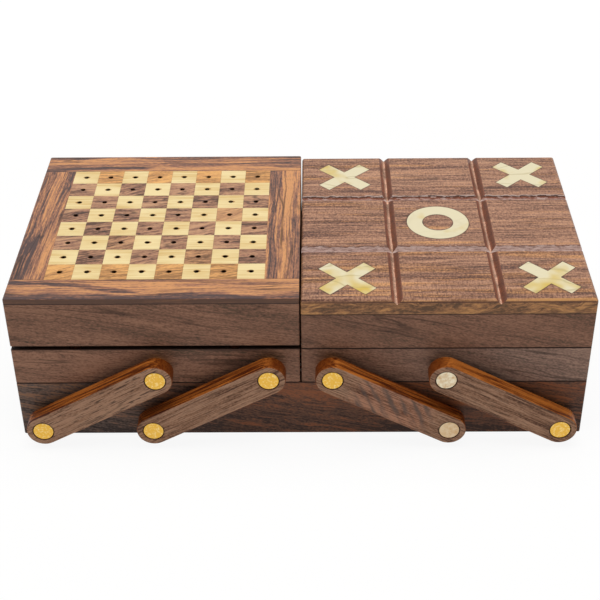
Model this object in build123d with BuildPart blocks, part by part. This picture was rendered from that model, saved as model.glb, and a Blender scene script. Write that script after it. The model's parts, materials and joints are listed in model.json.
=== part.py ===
from build123d import *
import math
import os

# Games compendium box. A base box carries two lidded trays side by side. Each tray hangs on four wooden
# arms, so it swings outwards, stays level and comes to rest beyond the end of the base. The left lid is a
# peg chess board and the right lid a board for noughts and crosses, and the games are kept inside.
# Millimetres. X runs along the box, Y from front to back and Z up. The origin is the middle of the underside.

os.makedirs("parts", exist_ok=True)

# ---- Boxes ----
box_length = 254.0             # the base, end to end
box_depth = 126.8              # every box, front to back, without the arms
wall = 8.0                     # thickness of all the side boards
unit_gap = 0.6                 # between the left and the right unit
base_height = 29.2
base_bottom_thickness = 4.0
tray_seam = 0.2                # running gap between the base's rim and the trays
tray_height = 18.4
tray_bottom_thickness = 3.0
bottom_rebate = 4.0            # how far a bottom reaches in under its side boards
left_frame_height = 22.4
left_top_thickness = 2.6       # squares and border strips of the chess board
backing_thickness = 4.5        # panel under the squares
right_frame_height = 18.0
right_top_thickness = 7.5      # solid grooved top board
right_lid_gap = 0.2
corner_round = 0.8             # upright corners
seam_round = 0.3               # edges at the seams and underneath
left_top_round = 0.5
right_top_round = 1.6          # sanded well over

# ---- Chess board ----
squares_per_side = 8
square_size = 12.05
square_joint = 0.06            # hairline between neighbours
peg_hole_radius = 1.15
peg_hole_depth = 3.6           # into the backing, below the squares

# ---- Noughts and crosses board ----
groove_width = 5.0
groove_depth = 2.5
groove_offset_x = 22.2         # from the middle of the board
groove_offset_y = 22.8
ring_outer_radius = 14.3
ring_inner_radius = 7.2
stroke_length = 28.3           # one bar of a cross
stroke_width = 6.8
# How far each cross was set off the middle of its cell, by hand: left front, left back, right front, right back.
cross_shifts = ((0.9, -2.2), (1.6, -1.2), (0.9, -2.0), (-0.2, 0.5))
inlay_thickness = 1.2
inlay_clearance = 0.05

# ---- Arms and pivots ----
arm_width = 15.0
arm_thickness = 7.0
arm_standoff = 4.0             # air between an arm and the boards
arm_round = 0.6
lower_pivot_height = 10.4
outer_pivot_inset = 11.7       # from the end of the base to the outer lower pivot
inner_pivot_inset = 13.6       # from a unit's inner end to the inner upper pivot
arm_reach_share = 0.5134       # an arm's level reach, of the length between those two pivots
pivot_radius = 2.5
pivot_head_radius = 4.5
pivot_head_thickness = 2.0
pivot_head_round = 0.3
pivot_seat = 6.5               # length of pin in the board
pivot_clearance = 0.05         # running fit, on the radius
head_clearance = 0.25          # ring round a head
face_clearance = 0.1           # between faces that slide past each other
washer_radius = 4.5

# ---- Hinges ----
hinge_length = 22.0
hinge_spacing = 70.0           # between the middles of one lid's two hinges
leaf_thickness = 0.85
leaf_gap = 0.1                 # between the closed leaves
leaf_reach = 6.3               # onto the rim
knuckle_radius = 1.6
knuckle_clearance = 0.2        # between a knuckle and the boards
knuckle_side_gap = 0.15
hinge_pin_radius = 0.7
screw_radius = 0.9
screw_head_radius = 1.6
screw_length = 7.0
screw_pitch = 12.0
screw_slot_width = 0.45
screw_slot_depth = 0.35
screw_clearance = 0.02
pad_radius = 3.0

# ---- Compartments and games ----
divider_thickness = 5.0
divider_drop = 1.5             # below the base's rim
game_clearance = 0.4           # between neighbouring pieces
seat_clearance = 0.05          # under pieces that lie on a floor
domino_length = 38.0
domino_width = 19.0
domino_thickness = 5.5
domino_round = 1.6             # corners of a tile
domino_columns = 2
domino_count = 28
card_width = 63.5
card_length = 88.9
card_pack_thickness = 15.0
card_corner = 3.0
card_room = 4.0                # spare width in the card compartment
die_size = 12.0
die_round = 1.4
die_turn = 17.0                # degrees, more from each die to the next
dice_count = 5
dice_inset = 20.0              # from the right end's board to the line of dice
stick_radius = 1.4
stick_length = 96.0
stick_point = 6.0
sticks_across = 8
stick_layers = 3
men_columns = 8
peg_radius = 1.0
peg_length = 6.0
man_radius = 3.1
man_foot = 1.6                 # thickness of the round foot
head_share = 0.72              # of a head's radius to the foot's
neck_share = 0.42
finial_size = 1.3
counter_thickness = 3.0
counter_columns = 4
counter_rows = 3
counter_count = 5              # of each kind

# ---- Worked out from the sizes above ----
half_length = box_length / 2
half_depth = box_depth / 2
base_x = (-half_length, half_length)
left_x = (-half_length, -unit_gap / 2)
right_x = (unit_gap / 2, half_length)
full_y = (-half_depth, half_depth)
inner_y = (wall - half_depth, half_depth - wall)
inner_depth = inner_y[1] - inner_y[0]
unit_length = left_x[1] - left_x[0]
left_lid_gap = 2 * leaf_thickness + leaf_gap

base_z = (0.0, base_height)
tray_z = (base_height + tray_seam, base_height + tray_seam + tray_height)
left_lid_z = (tray_z[1] + left_lid_gap, tray_z[1] + left_lid_gap + left_frame_height)
left_top_z = (left_lid_z[1], left_lid_z[1] + left_top_thickness)
right_lid_z = (tray_z[1] + right_lid_gap, tray_z[1] + right_lid_gap + right_frame_height)
right_top_z = (right_lid_z[1], right_lid_z[1] + right_top_thickness)

pivot_span = unit_length - outer_pivot_inset - inner_pivot_inset
arm_reach = arm_reach_share * pivot_span
arm_pitch = pivot_span - arm_reach
upper_pivot_height = tray_z[0] + tray_height / 2
arm_rise = upper_pivot_height - lower_pivot_height
arm_length = math.hypot(arm_reach, arm_rise)
outer_lower_x = half_length - outer_pivot_inset
lower_pivot_x = {"outer": outer_lower_x, "inner": outer_lower_x - arm_pitch}
upper_pivot_x = {"outer": outer_lower_x - arm_reach, "inner": outer_lower_x - arm_pitch - arm_reach}
arm_face = half_depth + arm_standoff + arm_thickness

hinge_axis_y = half_depth + knuckle_clearance + knuckle_radius
left_hinge_z = tray_z[1] + left_lid_gap / 2
right_hinge_z = tray_z[1] + right_lid_gap / 2
screw_y = half_depth - leaf_reach / 2
base_floor = base_bottom_thickness
tray_floor = tray_z[0] + tray_bottom_thickness


on_plane = (Align.CENTER, Align.CENTER, Align.MIN)


def middle(limits):
    return (limits[0] + limits[1]) / 2


def span(centre, width):
    return (centre - width / 2, centre + width / 2)


def inside(limits):
    """The limits between a box's two walls."""
    return (limits[0] + wall, limits[1] - wall)


def cuboid(x, y, z, mode=Mode.ADD):
    """Add, cut or keep the block between three pairs of limits in the open part."""
    with Locations((middle(x), middle(y), middle(z))):
        Box(x[1] - x[0], y[1] - y[0], z[1] - z[0], mode=mode)


def eased_block(piece, x, y, z, bottom_round=0, top_round=0):
    """The whole outer block of a box, with its corners and outline edges rounded."""
    cuboid(x, y, z)
    fillet(piece.edges().filter_by(Axis.Z), corner_round)
    if bottom_round:
        fillet(piece.edges().group_by(Axis.Z)[0], bottom_round)
    if top_round:
        fillet(piece.edges().group_by(Axis.Z)[-1], top_round)


def save(piece, name):
    piece.part.label = name
    export_step(piece.part, f"parts/{name}.step")


def facing(x, y, z, direction):
    """A plane across the box's depth: its X runs along the box, and it faces front (-1) or back (+1)."""
    return Plane(origin=(x, y, z), x_dir=(1, 0, 0), z_dir=(0, direction, 0))


# ---- Where the hinges and their screws lie ----

def hinge_centres(x):
    return span(middle(x), hinge_spacing)


def screw_points(x):
    return [(screw_x, screw_y) for centre in hinge_centres(x) for screw_x in span(centre, screw_pitch)]


def leaf_levels(hinge_z, side):
    """Height limits of a leaf: side -1 is the tray's, under the joint, and +1 the lid's."""
    near = hinge_z + side * leaf_gap / 2
    return tuple(sorted((near, near + side * leaf_thickness)))


def cut_hinge_seats(x, hinge_z, side):
    """Let the leaves and their screws into a back board."""
    for centre in hinge_centres(x):
        pocket_x = span(centre, hinge_length + 2 * seat_clearance)
        pocket_y = (half_depth - leaf_reach - seat_clearance, half_depth + knuckle_clearance)
        cuboid(pocket_x, pocket_y, leaf_levels(hinge_z, side), mode=Mode.SUBTRACT)
    for screw_x, y in screw_points(x):
        with Locations(Plane(origin=(screw_x, y, hinge_z), z_dir=(0, 0, side))):
            Cylinder(screw_radius, leaf_gap / 2 + screw_length, align=on_plane, mode=Mode.SUBTRACT)


# ---- Side boards of the five boxes ----

def drill_pivots(points, direction):
    """Blind holes for the pivot pins, from the front (-1) or the back (+1)."""
    for x, z in points:
        with Locations(facing(x, direction * half_depth, z, -direction)):
            Cylinder(pivot_radius, pivot_seat, align=on_plane, mode=Mode.SUBTRACT)


def make_boards(name, ends, x, z, rounds, floor_thickness=0, pivots=(), hinge=None):
    """Front, back and end boards of one box. The ends stand between the front and the back."""
    places = {
        "front": (x, (full_y[0], inner_y[0])),
        "back": (x, (inner_y[1], full_y[1])),
        ends[0]: ((x[0], x[0] + wall), inner_y),
        ends[1]: ((x[1] - wall, x[1]), inner_y),
    }
    for place, (board_x, board_y) in places.items():
        with BuildPart() as board:
            eased_block(board, x, full_y, z, *rounds)
            cuboid(board_x, board_y, z, mode=Mode.INTERSECT)
            if floor_thickness:
                cuboid(*floor_limits(x), (z[0], z[0] + floor_thickness), mode=Mode.SUBTRACT)
            if place == "front":
                drill_pivots(pivots, -1)
            if place == "back":
                drill_pivots(pivots, 1)
            if place == "back" and hinge:
                cut_hinge_seats(x, *hinge)
        save(board, f"{name}_{place}")


def floor_limits(x):
    """Length and depth limits of a floor panel, which reaches into the rebates of all four boards."""
    inner_x = inside(x)
    return (
        (inner_x[0] - bottom_rebate, inner_x[1] + bottom_rebate),
        (inner_y[0] - bottom_rebate, inner_y[1] + bottom_rebate),
    )


def make_floor(name, x, z_low, thickness):
    with BuildPart() as floor:
        cuboid(*floor_limits(x), (z_low, z_low + thickness))
    save(floor, name)


left_ends = ("outer_end", "inner_end")
right_ends = ("inner_end", "outer_end")
base_pivots = [(side * x, lower_pivot_height) for side in (-1, 1) for x in lower_pivot_x.values()]
left_pivots = [(-x, upper_pivot_height) for x in upper_pivot_x.values()]
right_pivots = [(x, upper_pivot_height) for x in upper_pivot_x.values()]

make_boards(
    "base", ("left_end", "right_end"), base_x, base_z, (seam_round, seam_round),
    base_bottom_thickness, base_pivots,
)
make_boards(
    "left_tray", left_ends, left_x, tray_z, (seam_round, seam_round),
    tray_bottom_thickness, left_pivots, (left_hinge_z, -1),
)
make_boards(
    "right_tray", right_ends, right_x, tray_z, (seam_round, seam_round),
    tray_bottom_thickness, right_pivots, (right_hinge_z, -1),
)
make_boards("left_lid", left_ends, left_x, left_lid_z, (seam_round, 0), hinge=(left_hinge_z, 1))
make_boards("right_lid", right_ends, right_x, right_lid_z, (seam_round, 0), hinge=(right_hinge_z, 1))

make_floor("base_bottom", base_x, base_z[0], base_bottom_thickness)
make_floor("left_tray_floor", left_x, tray_z[0], tray_bottom_thickness)
make_floor("right_tray_floor", right_x, tray_z[0], tray_bottom_thickness)


# ---- Left lid: peg chess board ----

def square_centres(shades):
    """Centres of the squares whose column and row add up to an odd (light) or even (dark) number."""
    first_x = middle(left_x) - (squares_per_side - 1) * square_size / 2
    first_y = -(squares_per_side - 1) * square_size / 2
    return [
        (first_x + column * square_size, first_y + row * square_size)
        for column in range(squares_per_side)
        for row in range(squares_per_side)
        if (column + row) % 2 in shades
    ]


field_half = squares_per_side * square_size / 2
field_x = span(middle(left_x), 2 * field_half)
field_y = (-field_half, field_half)

with BuildPart() as left_lid_backing:
    cuboid(inside(left_x), inner_y, (left_lid_z[1] - backing_thickness, left_lid_z[1]))
    with BuildSketch(Plane.XY.offset(left_lid_z[1])):
        with Locations(square_centres((0, 1))):
            Circle(peg_hole_radius)
    extrude(amount=-peg_hole_depth, mode=Mode.SUBTRACT)
save(left_lid_backing, "left_lid_backing")

for squares_name, shade in (("dark_squares", 0), ("light_squares", 1)):
    with BuildPart() as squares:
        with BuildSketch(Plane.XY.offset(left_top_z[0])):
            with Locations(square_centres((shade,))):
                Rectangle(square_size - square_joint, square_size - square_joint)
                Circle(peg_hole_radius, mode=Mode.SUBTRACT)
        extrude(amount=left_top_thickness)
    save(squares, squares_name)

with BuildPart() as left_lid_border:
    eased_block(left_lid_border, left_x, full_y, left_top_z, 0, left_top_round)
    cuboid(field_x, field_y, left_top_z, mode=Mode.SUBTRACT)
    # Hairlines where the two side strips butt against the front and back strips.
    for edge_y in field_y:
        cuboid(left_x, span(edge_y, square_joint), left_top_z, mode=Mode.SUBTRACT)
save(left_lid_border, "left_lid_border")


# ---- Right lid: noughts and crosses board ----

cell_x = (groove_offset_x + groove_width / 2 + unit_length / 2) / 2
cell_y = (groove_offset_y + groove_width / 2 + half_depth) / 2
board_middle = middle(right_x)
cell_centres = [(board_middle + i * cell_x, j * cell_y) for i in (-1, 1) for j in (-1, 1)]
cross_centres = [(cell[0] + shift[0], cell[1] + shift[1]) for cell, shift in zip(cell_centres, cross_shifts)]


def crosses(centres, growth=0.0, mode=Mode.ADD):
    """Crosses of two square-ended bars, in the open sketch."""
    with Locations(centres):
        for turn in (45, -45):
            Rectangle(stroke_length + 2 * growth, stroke_width + 2 * growth, rotation=turn, mode=mode)


with BuildPart() as right_lid_top_board:
    eased_block(right_lid_top_board, right_x, full_y, right_top_z, 0, right_top_round)
    groove_outline = [(-groove_width / 2, 0), (groove_width / 2, 0), (0, -groove_depth)]
    with BuildSketch(Plane.XZ.offset(-half_depth)):
        for offset in (-groove_offset_x, groove_offset_x):
            with Locations((board_middle + offset, right_top_z[1])):
                Polygon(*groove_outline, align=None)
    extrude(amount=box_depth, mode=Mode.SUBTRACT)
    with BuildSketch(Plane.YZ):
        for offset in (-groove_offset_y, groove_offset_y):
            with Locations((offset, right_top_z[1])):
                Polygon(*groove_outline, align=None)
    extrude(amount=half_length, mode=Mode.SUBTRACT)
    with BuildSketch(Plane.XY.offset(right_top_z[1])):
        crosses(cross_centres, growth=inlay_clearance)
        with Locations((board_middle, 0)):
            Circle(ring_outer_radius + inlay_clearance)
            Circle(ring_inner_radius - inlay_clearance, mode=Mode.SUBTRACT)
    extrude(amount=-inlay_thickness, mode=Mode.SUBTRACT)
save(right_lid_top_board, "right_lid_top_board")

with BuildPart() as brass_inlays:
    with BuildSketch(Plane.XY.offset(right_top_z[1])):
        crosses(cross_centres)
        with Locations((board_middle, 0)):
            Circle(ring_outer_radius)
            Circle(ring_inner_radius, mode=Mode.SUBTRACT)
    extrude(amount=-inlay_thickness)
save(brass_inlays, "right_lid_brass_inlays")


# ---- Arms ----

for side_name, side in (("left", -1), ("right", 1)):
    for face_name, direction in (("front", -1), ("back", 1)):
        for place in ("outer", "inner"):
            arm_middle_x = side * (lower_pivot_x[place] + upper_pivot_x[place]) / 2
            arm_middle_z = (lower_pivot_height + upper_pivot_height) / 2
            arm_plane = Plane(
                origin=(arm_middle_x, direction * arm_face, arm_middle_z),
                x_dir=(-side * arm_reach, 0, arm_rise),
                z_dir=(0, direction, 0),
            )
            with BuildPart() as arm:
                with BuildSketch(arm_plane):
                    SlotCenterToCenter(arm_length, arm_width)
                extrude(amount=-arm_thickness)
                fillet(arm.faces().sort_by(Axis.Y)[0 if direction < 0 else -1].edges(), arm_round)
                with Locations(arm_plane):
                    with GridLocations(arm_length, 0, 2, 1):
                        CounterBoreHole(
                            radius=pivot_radius + pivot_clearance,
                            counter_bore_radius=pivot_head_radius + head_clearance,
                            counter_bore_depth=pivot_head_thickness + face_clearance,
                        )
            save(arm, f"{side_name}_{face_name}_{place}_arm")


# ---- Pivot pins and the washers behind the arms ----

def make_pivots(name, points):
    """A headed pin and a washer at each point, front and back. The head lies flush in its arm."""
    head_planes = [facing(x, way * arm_face, z, -way) for way in (-1, 1) for x, z in points]
    board_planes = [facing(x, way * half_depth, z, way) for way in (-1, 1) for x, z in points]
    with BuildPart() as pivots:
        with Locations(*head_planes):
            Cylinder(pivot_head_radius, pivot_head_thickness, align=on_plane)
        outer_rims = pivots.edges().filter_by(lambda edge: abs(edge.center().Y) > arm_face - pivot_head_round)
        fillet(outer_rims.filter_by(GeomType.CIRCLE), pivot_head_round)
        with Locations(*head_planes):
            Cylinder(pivot_radius, arm_thickness + arm_standoff + pivot_seat, align=on_plane)
        with BuildSketch(*board_planes):
            Circle(washer_radius)
            Circle(pivot_radius + pivot_clearance, mode=Mode.SUBTRACT)
        extrude(amount=arm_standoff - face_clearance)
    save(pivots, name)


make_pivots("base_pivots", base_pivots)
make_pivots("left_tray_pivots", left_pivots)
make_pivots("right_tray_pivots", right_pivots)


# ---- Hinges: two butt hinges at the back of each lid ----

def make_leaves(name, x, hinge_z, side):
    """Leaves with knuckles on the axis: two each for the tray (-1), and the middle one for the lid (+1)."""
    plate_edge = hinge_axis_y - knuckle_radius - knuckle_clearance - leaf_gap
    levels = leaf_levels(hinge_z, side)
    thirds = (-1, 1) if side < 0 else (0,)
    bore = hinge_pin_radius if side < 0 else hinge_pin_radius + pivot_clearance
    knuckles = [centre + third * hinge_length / 3 for centre in hinge_centres(x) for third in thirds]
    knuckle_length = hinge_length / 3 - knuckle_side_gap
    with BuildPart() as leaves:
        for centre in hinge_centres(x):
            cuboid(span(centre, hinge_length), (half_depth - leaf_reach, plate_edge), levels)
        for knuckle in knuckles:
            cuboid(span(knuckle, knuckle_length), (plate_edge, hinge_axis_y), levels)
            with Locations((knuckle, hinge_axis_y, hinge_z)):
                Cylinder(knuckle_radius, knuckle_length, rotation=(0, 90, 0))
        for knuckle in knuckles:
            with Locations((knuckle, hinge_axis_y, hinge_z)):
                Cylinder(bore, knuckle_length, rotation=(0, 90, 0), mode=Mode.SUBTRACT)
        for screw_x, y in screw_points(x):
            with Locations(Plane(origin=(screw_x, y, hinge_z + side * leaf_gap / 2), z_dir=(0, 0, -side))):
                CounterSinkHole(
                    radius=screw_radius + screw_clearance,
                    counter_sink_radius=screw_head_radius + screw_clearance,
                    depth=2 * leaf_thickness,
                    counter_sink_angle=90,
                )
    save(leaves, name)


def make_hinge_pins(name, x, hinge_z):
    with BuildPart() as pins:
        for centre in hinge_centres(x):
            with Locations((centre, hinge_axis_y, hinge_z)):
                Cylinder(hinge_pin_radius, hinge_length, rotation=(0, 90, 0))
    save(pins, name)


def make_screws(name, x, hinge_z, side):
    """Slotted countersunk screws, heads flush with the leaf, going down (-1) or up (+1) into the board."""
    head_planes = [
        Plane(origin=(screw_x, y, hinge_z + side * leaf_gap / 2), z_dir=(0, 0, side))
        for screw_x, y in screw_points(x)
    ]
    with BuildPart() as screws:
        with Locations(*head_planes):
            Cone(screw_head_radius, screw_radius, screw_head_radius - screw_radius, align=on_plane)
            Cylinder(screw_radius, screw_length, align=on_plane)
        with Locations(*head_planes):
            Box(2 * screw_head_radius, screw_slot_width, 2 * screw_slot_depth, mode=Mode.SUBTRACT)
    save(screws, name)


for unit_name, unit_x, hinge_z in (("left", left_x, left_hinge_z), ("right", right_x, right_hinge_z)):
    make_leaves(f"{unit_name}_tray_hinge_leaves", unit_x, hinge_z, -1)
    make_leaves(f"{unit_name}_lid_hinge_leaves", unit_x, hinge_z, 1)
    make_hinge_pins(f"{unit_name}_hinge_pins", unit_x, hinge_z)
    make_screws(f"{unit_name}_tray_hinge_screws", unit_x, hinge_z, -1)
    make_screws(f"{unit_name}_lid_hinge_screws", unit_x, hinge_z, 1)

# Cork pads under the front of the left lid, as high as the two hinge leaves behind.
with BuildPart() as left_lid_pads:
    with BuildSketch(Plane.XY.offset(left_lid_z[0])):
        with Locations(*[(x, -screw_y) for x in hinge_centres(left_x)]):
            Circle(pad_radius)
    extrude(amount=face_clearance - left_lid_gap)
save(left_lid_pads, "left_lid_pads")


# ---- Base compartments: dominoes, cards, sticks and dice ----

base_inner_x = inside(base_x)
domino_space = domino_columns * (domino_length + game_clearance) + game_clearance
card_space = card_width + card_room
domino_x = (base_inner_x[0], base_inner_x[0] + domino_space)
card_x = (domino_x[1] + divider_thickness, domino_x[1] + divider_thickness + card_space)
stick_x = (card_x[1] + divider_thickness, base_inner_x[1])

with BuildPart() as base_dividers:
    for divider_low in (domino_x[1], card_x[1]):
        divider_x = (divider_low, divider_low + divider_thickness)
        cuboid(divider_x, inner_y, (base_floor, base_height - divider_drop))
save(base_dividers, "base_dividers")

domino_pitch_y = domino_width + game_clearance
domino_rows = int((inner_depth - game_clearance) // domino_pitch_y)
domino_layer = domino_columns * domino_rows
with BuildPart() as dominoes:
    for tile in range(domino_count):
        layer, place = divmod(tile, domino_layer)
        column, row = divmod(place, domino_rows)
        tile_x = domino_x[0] + game_clearance + domino_length / 2 + column * (domino_length + game_clearance)
        tile_y = inner_y[0] + game_clearance + domino_width / 2 + row * domino_pitch_y
        tile_z = base_floor + seat_clearance + layer * (domino_thickness + seat_clearance)
        with BuildSketch(Plane.XY.offset(tile_z)):
            with Locations((tile_x, tile_y)):
                RectangleRounded(domino_length, domino_width, domino_round)
        extrude(amount=domino_thickness)
save(dominoes, "dominoes")

with BuildPart() as playing_cards:
    with BuildSketch(Plane.XY.offset(base_floor + seat_clearance)):
        with Locations((middle(card_x), middle(inner_y))):
            RectangleRounded(card_width, card_length, card_corner)
    extrude(amount=card_pack_thickness)
save(playing_cards, "playing_cards")

stick_pitch = 2 * stick_radius + seat_clearance
with BuildPart() as pick_up_sticks:
    for layer in range(stick_layers):
        for place in range(sticks_across):
            x = stick_x[0] + game_clearance + stick_radius + place * stick_pitch
            z = base_floor + stick_radius + seat_clearance + layer * stick_pitch
            # The tail end of each stick, and one point at either end of its round length.
            tail = facing(x, -stick_length / 2, z, 1)
            round_length = stick_length - 2 * stick_point
            with Locations(tail):
                Cone(0, stick_radius, stick_point, align=on_plane)
            with Locations(tail.offset(stick_point)):
                Cylinder(stick_radius, round_length, align=on_plane)
            with Locations(tail.offset(stick_point + round_length)):
                Cone(stick_radius, 0, stick_point, align=on_plane)
save(pick_up_sticks, "pick_up_sticks")

die_x = stick_x[1] - dice_inset
die_pitch = inner_depth / dice_count
with BuildPart() as dice:
    for place in range(dice_count):
        die_y = inner_y[0] + (place + 0.5) * die_pitch
        turn = die_turn * place * (-1) ** place
        with Locations((die_x, die_y, base_floor + seat_clearance)):
            Box(die_size, die_size, die_size, rotation=(0, 0, turn), align=on_plane)
    fillet(dice.edges(), die_round)
save(dice, "dice")


# ---- Left tray: peg chess men ----

back_rank = ["rook", "knight", "bishop", "queen", "king", "bishop", "knight", "rook"]
# Height above the board.
man_height = {"pawn": 9.0, "rook": 10.0, "knight": 11.0, "bishop": 12.0, "queen": 13.5, "king": 14.5}


def add_man(plane, kind):
    """A turned man with its peg, lying along the plane's Z from the tip of the peg."""
    height = man_height[kind]
    head_radius = man_radius * head_share
    neck_radius = man_radius * neck_share
    head_height = height - head_radius
    with Locations(plane):
        Cylinder(peg_radius, peg_length, align=on_plane)
    with Locations(plane.offset(peg_length)):
        Cylinder(man_radius, man_foot, align=on_plane)
    with Locations(plane.offset(peg_length + man_foot)):
        Cone(head_radius, neck_radius, head_height - man_foot, align=on_plane)
    head = plane.offset(peg_length + head_height)
    if kind == "rook":
        with Locations(head.offset(-head_radius)):
            Cylinder(head_radius, 2 * head_radius, align=on_plane)
        with Locations(head.offset(head_radius)):
            Box(2 * head_radius, neck_radius, neck_radius, mode=Mode.SUBTRACT)
            Box(neck_radius, 2 * head_radius, neck_radius, mode=Mode.SUBTRACT)
    elif kind == "knight":
        with Locations(head.offset(-head_radius)):
            Box(2 * neck_radius, 2 * head_radius, 2 * head_radius, align=on_plane)
            Cylinder(head_radius, head_radius, align=on_plane)
    else:
        with Locations(head):
            Sphere(head_radius)
    if kind in ("bishop", "queen"):
        with Locations(head.offset(head_radius)):
            Sphere(finial_size / 2)
    if kind == "king":
        with Locations(head.offset(head_radius)):
            Box(finial_size, 3 * finial_size, finial_size)
            Box(finial_size, finial_size, 3 * finial_size)


men_pitch_x = (unit_length - 2 * wall) / men_columns
men_pitch_y = inner_depth / 4


def make_men(name, first_row):
    """One player's sixteen men in two rows across the left tray, heads to the back."""
    with BuildPart() as men:
        for row, kinds in enumerate((["pawn"] * men_columns, back_rank)):
            for column, kind in enumerate(kinds):
                x = inside(left_x)[0] + (column + 0.5) * men_pitch_x
                y = inner_y[0] + (first_row + row + 0.5) * men_pitch_y - (peg_length + man_height[kind]) / 2
                add_man(facing(x, y, tray_floor + seat_clearance + man_radius, 1), kind)
    save(men, name)


make_men("light_chess_men", 0)
make_men("dark_chess_men", 2)


# ---- Right tray: loose noughts and crosses ----

def counter_places(first):
    """Places in the right tray for one kind of counter, counted along the rows."""
    pitch_x = (unit_length - 2 * wall) / counter_columns
    pitch_y = inner_depth / counter_rows
    places = [divmod(index, counter_columns) for index in range(first, first + counter_count)]
    return [
        (inside(right_x)[0] + (column + 0.5) * pitch_x, inner_y[0] + (row + 0.5) * pitch_y)
        for row, column in places
    ]


with BuildPart() as loose_crosses:
    with BuildSketch(Plane.XY.offset(tray_floor + seat_clearance)):
        crosses(counter_places(0))
    extrude(amount=counter_thickness)
save(loose_crosses, "loose_crosses")

with BuildPart() as loose_rings:
    with BuildSketch(Plane.XY.offset(tray_floor + seat_clearance)):
        with Locations(counter_places(counter_count)):
            Circle(stroke_length / 2 - game_clearance)
            Circle(ring_inner_radius, mode=Mode.SUBTRACT)
    extrude(amount=counter_thickness)
save(loose_rings, "loose_rings")
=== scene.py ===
import json
import math

import bmesh
import bpy
from mathutils import Matrix, Vector


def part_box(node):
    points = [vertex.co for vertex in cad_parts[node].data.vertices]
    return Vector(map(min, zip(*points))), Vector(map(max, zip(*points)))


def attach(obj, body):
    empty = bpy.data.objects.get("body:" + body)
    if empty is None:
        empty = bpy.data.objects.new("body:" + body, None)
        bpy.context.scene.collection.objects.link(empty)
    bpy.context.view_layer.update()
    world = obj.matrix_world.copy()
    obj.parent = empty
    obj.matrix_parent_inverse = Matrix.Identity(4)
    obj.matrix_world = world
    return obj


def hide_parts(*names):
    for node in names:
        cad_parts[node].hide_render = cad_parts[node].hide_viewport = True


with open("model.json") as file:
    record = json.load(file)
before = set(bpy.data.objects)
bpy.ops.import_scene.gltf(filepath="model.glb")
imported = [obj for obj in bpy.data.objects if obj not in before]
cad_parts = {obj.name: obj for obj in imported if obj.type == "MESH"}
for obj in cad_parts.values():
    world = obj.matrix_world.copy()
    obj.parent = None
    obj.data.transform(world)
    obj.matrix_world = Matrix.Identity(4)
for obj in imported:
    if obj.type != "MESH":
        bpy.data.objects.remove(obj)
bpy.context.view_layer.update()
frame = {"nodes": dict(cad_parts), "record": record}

bl_info = {
    "name": "Games compendium box",
    "version": (1, 0, 0),
    "blender": (4, 5, 0),
    "location": "3D View > Sidebar > Games box",
    "description": "Finishes a swing-out games box: sheesham boards, inlaid lids, brass pins and its games",
    "category": "Object",
}

# Lengths are metres, except inside a pattern and where a comment says so: there they are millimetres.
MM = 0.001
NODES = frame["nodes"]
BODIES = frame["record"]["behaviour"]["bodies"]
BODY_OF = {node: body for body, members in BODIES.items() for node in members}


def colour(code):
    """The linear RGBA of an sRGB hex colour."""
    channels = [int(code[place:place + 2], 16) / 255 for place in (1, 3, 5)]
    linear = [c / 12.92 if c <= 0.04045 else ((c + 0.055) / 1.055) ** 2.4 for c in channels]
    return (*linear, 1.0)


def fill(node, inputs):
    """Fill or link a node's inputs, listed in their order or named. A node given links its first output."""
    for place, value in inputs.items() if isinstance(inputs, dict) else enumerate(inputs):
        if isinstance(value, bpy.types.Node):
            value = value.outputs[0]
        if isinstance(value, bpy.types.NodeSocket):
            node.id_data.links.new(value, node.inputs[place])
        else:
            node.inputs[place].default_value = value


def add(tree, kind, inputs=(), stops=(), **settings):
    """Add a node with its properties, its inputs, and the stops of its colours from first to last."""
    node = tree.nodes.new(kind)
    for name, value in settings.items():
        setattr(node, name, value)
    fill(node, inputs)
    if stops:
        ramp = node.color_ramp.elements
        for level, shade in stops[1:-1]:
            ramp.new(level).color = shade
        for end in (0, -1):
            ramp[end].position, ramp[end].color = stops[end]
    return node


# ---- Properties ----

def tone(label, description, code):
    """A colour property with an sRGB hex default."""
    return bpy.props.FloatVectorProperty(
        name=label, description=description, subtype="COLOR", size=4, min=0, max=1, default=colour(code)
    )


def length(label, description, millimetres):
    """A length property whose default is given in millimetres."""
    return bpy.props.FloatProperty(
        name=label, description=description, default=millimetres * MM, min=0.0, unit="LENGTH", precision=5
    )


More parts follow.
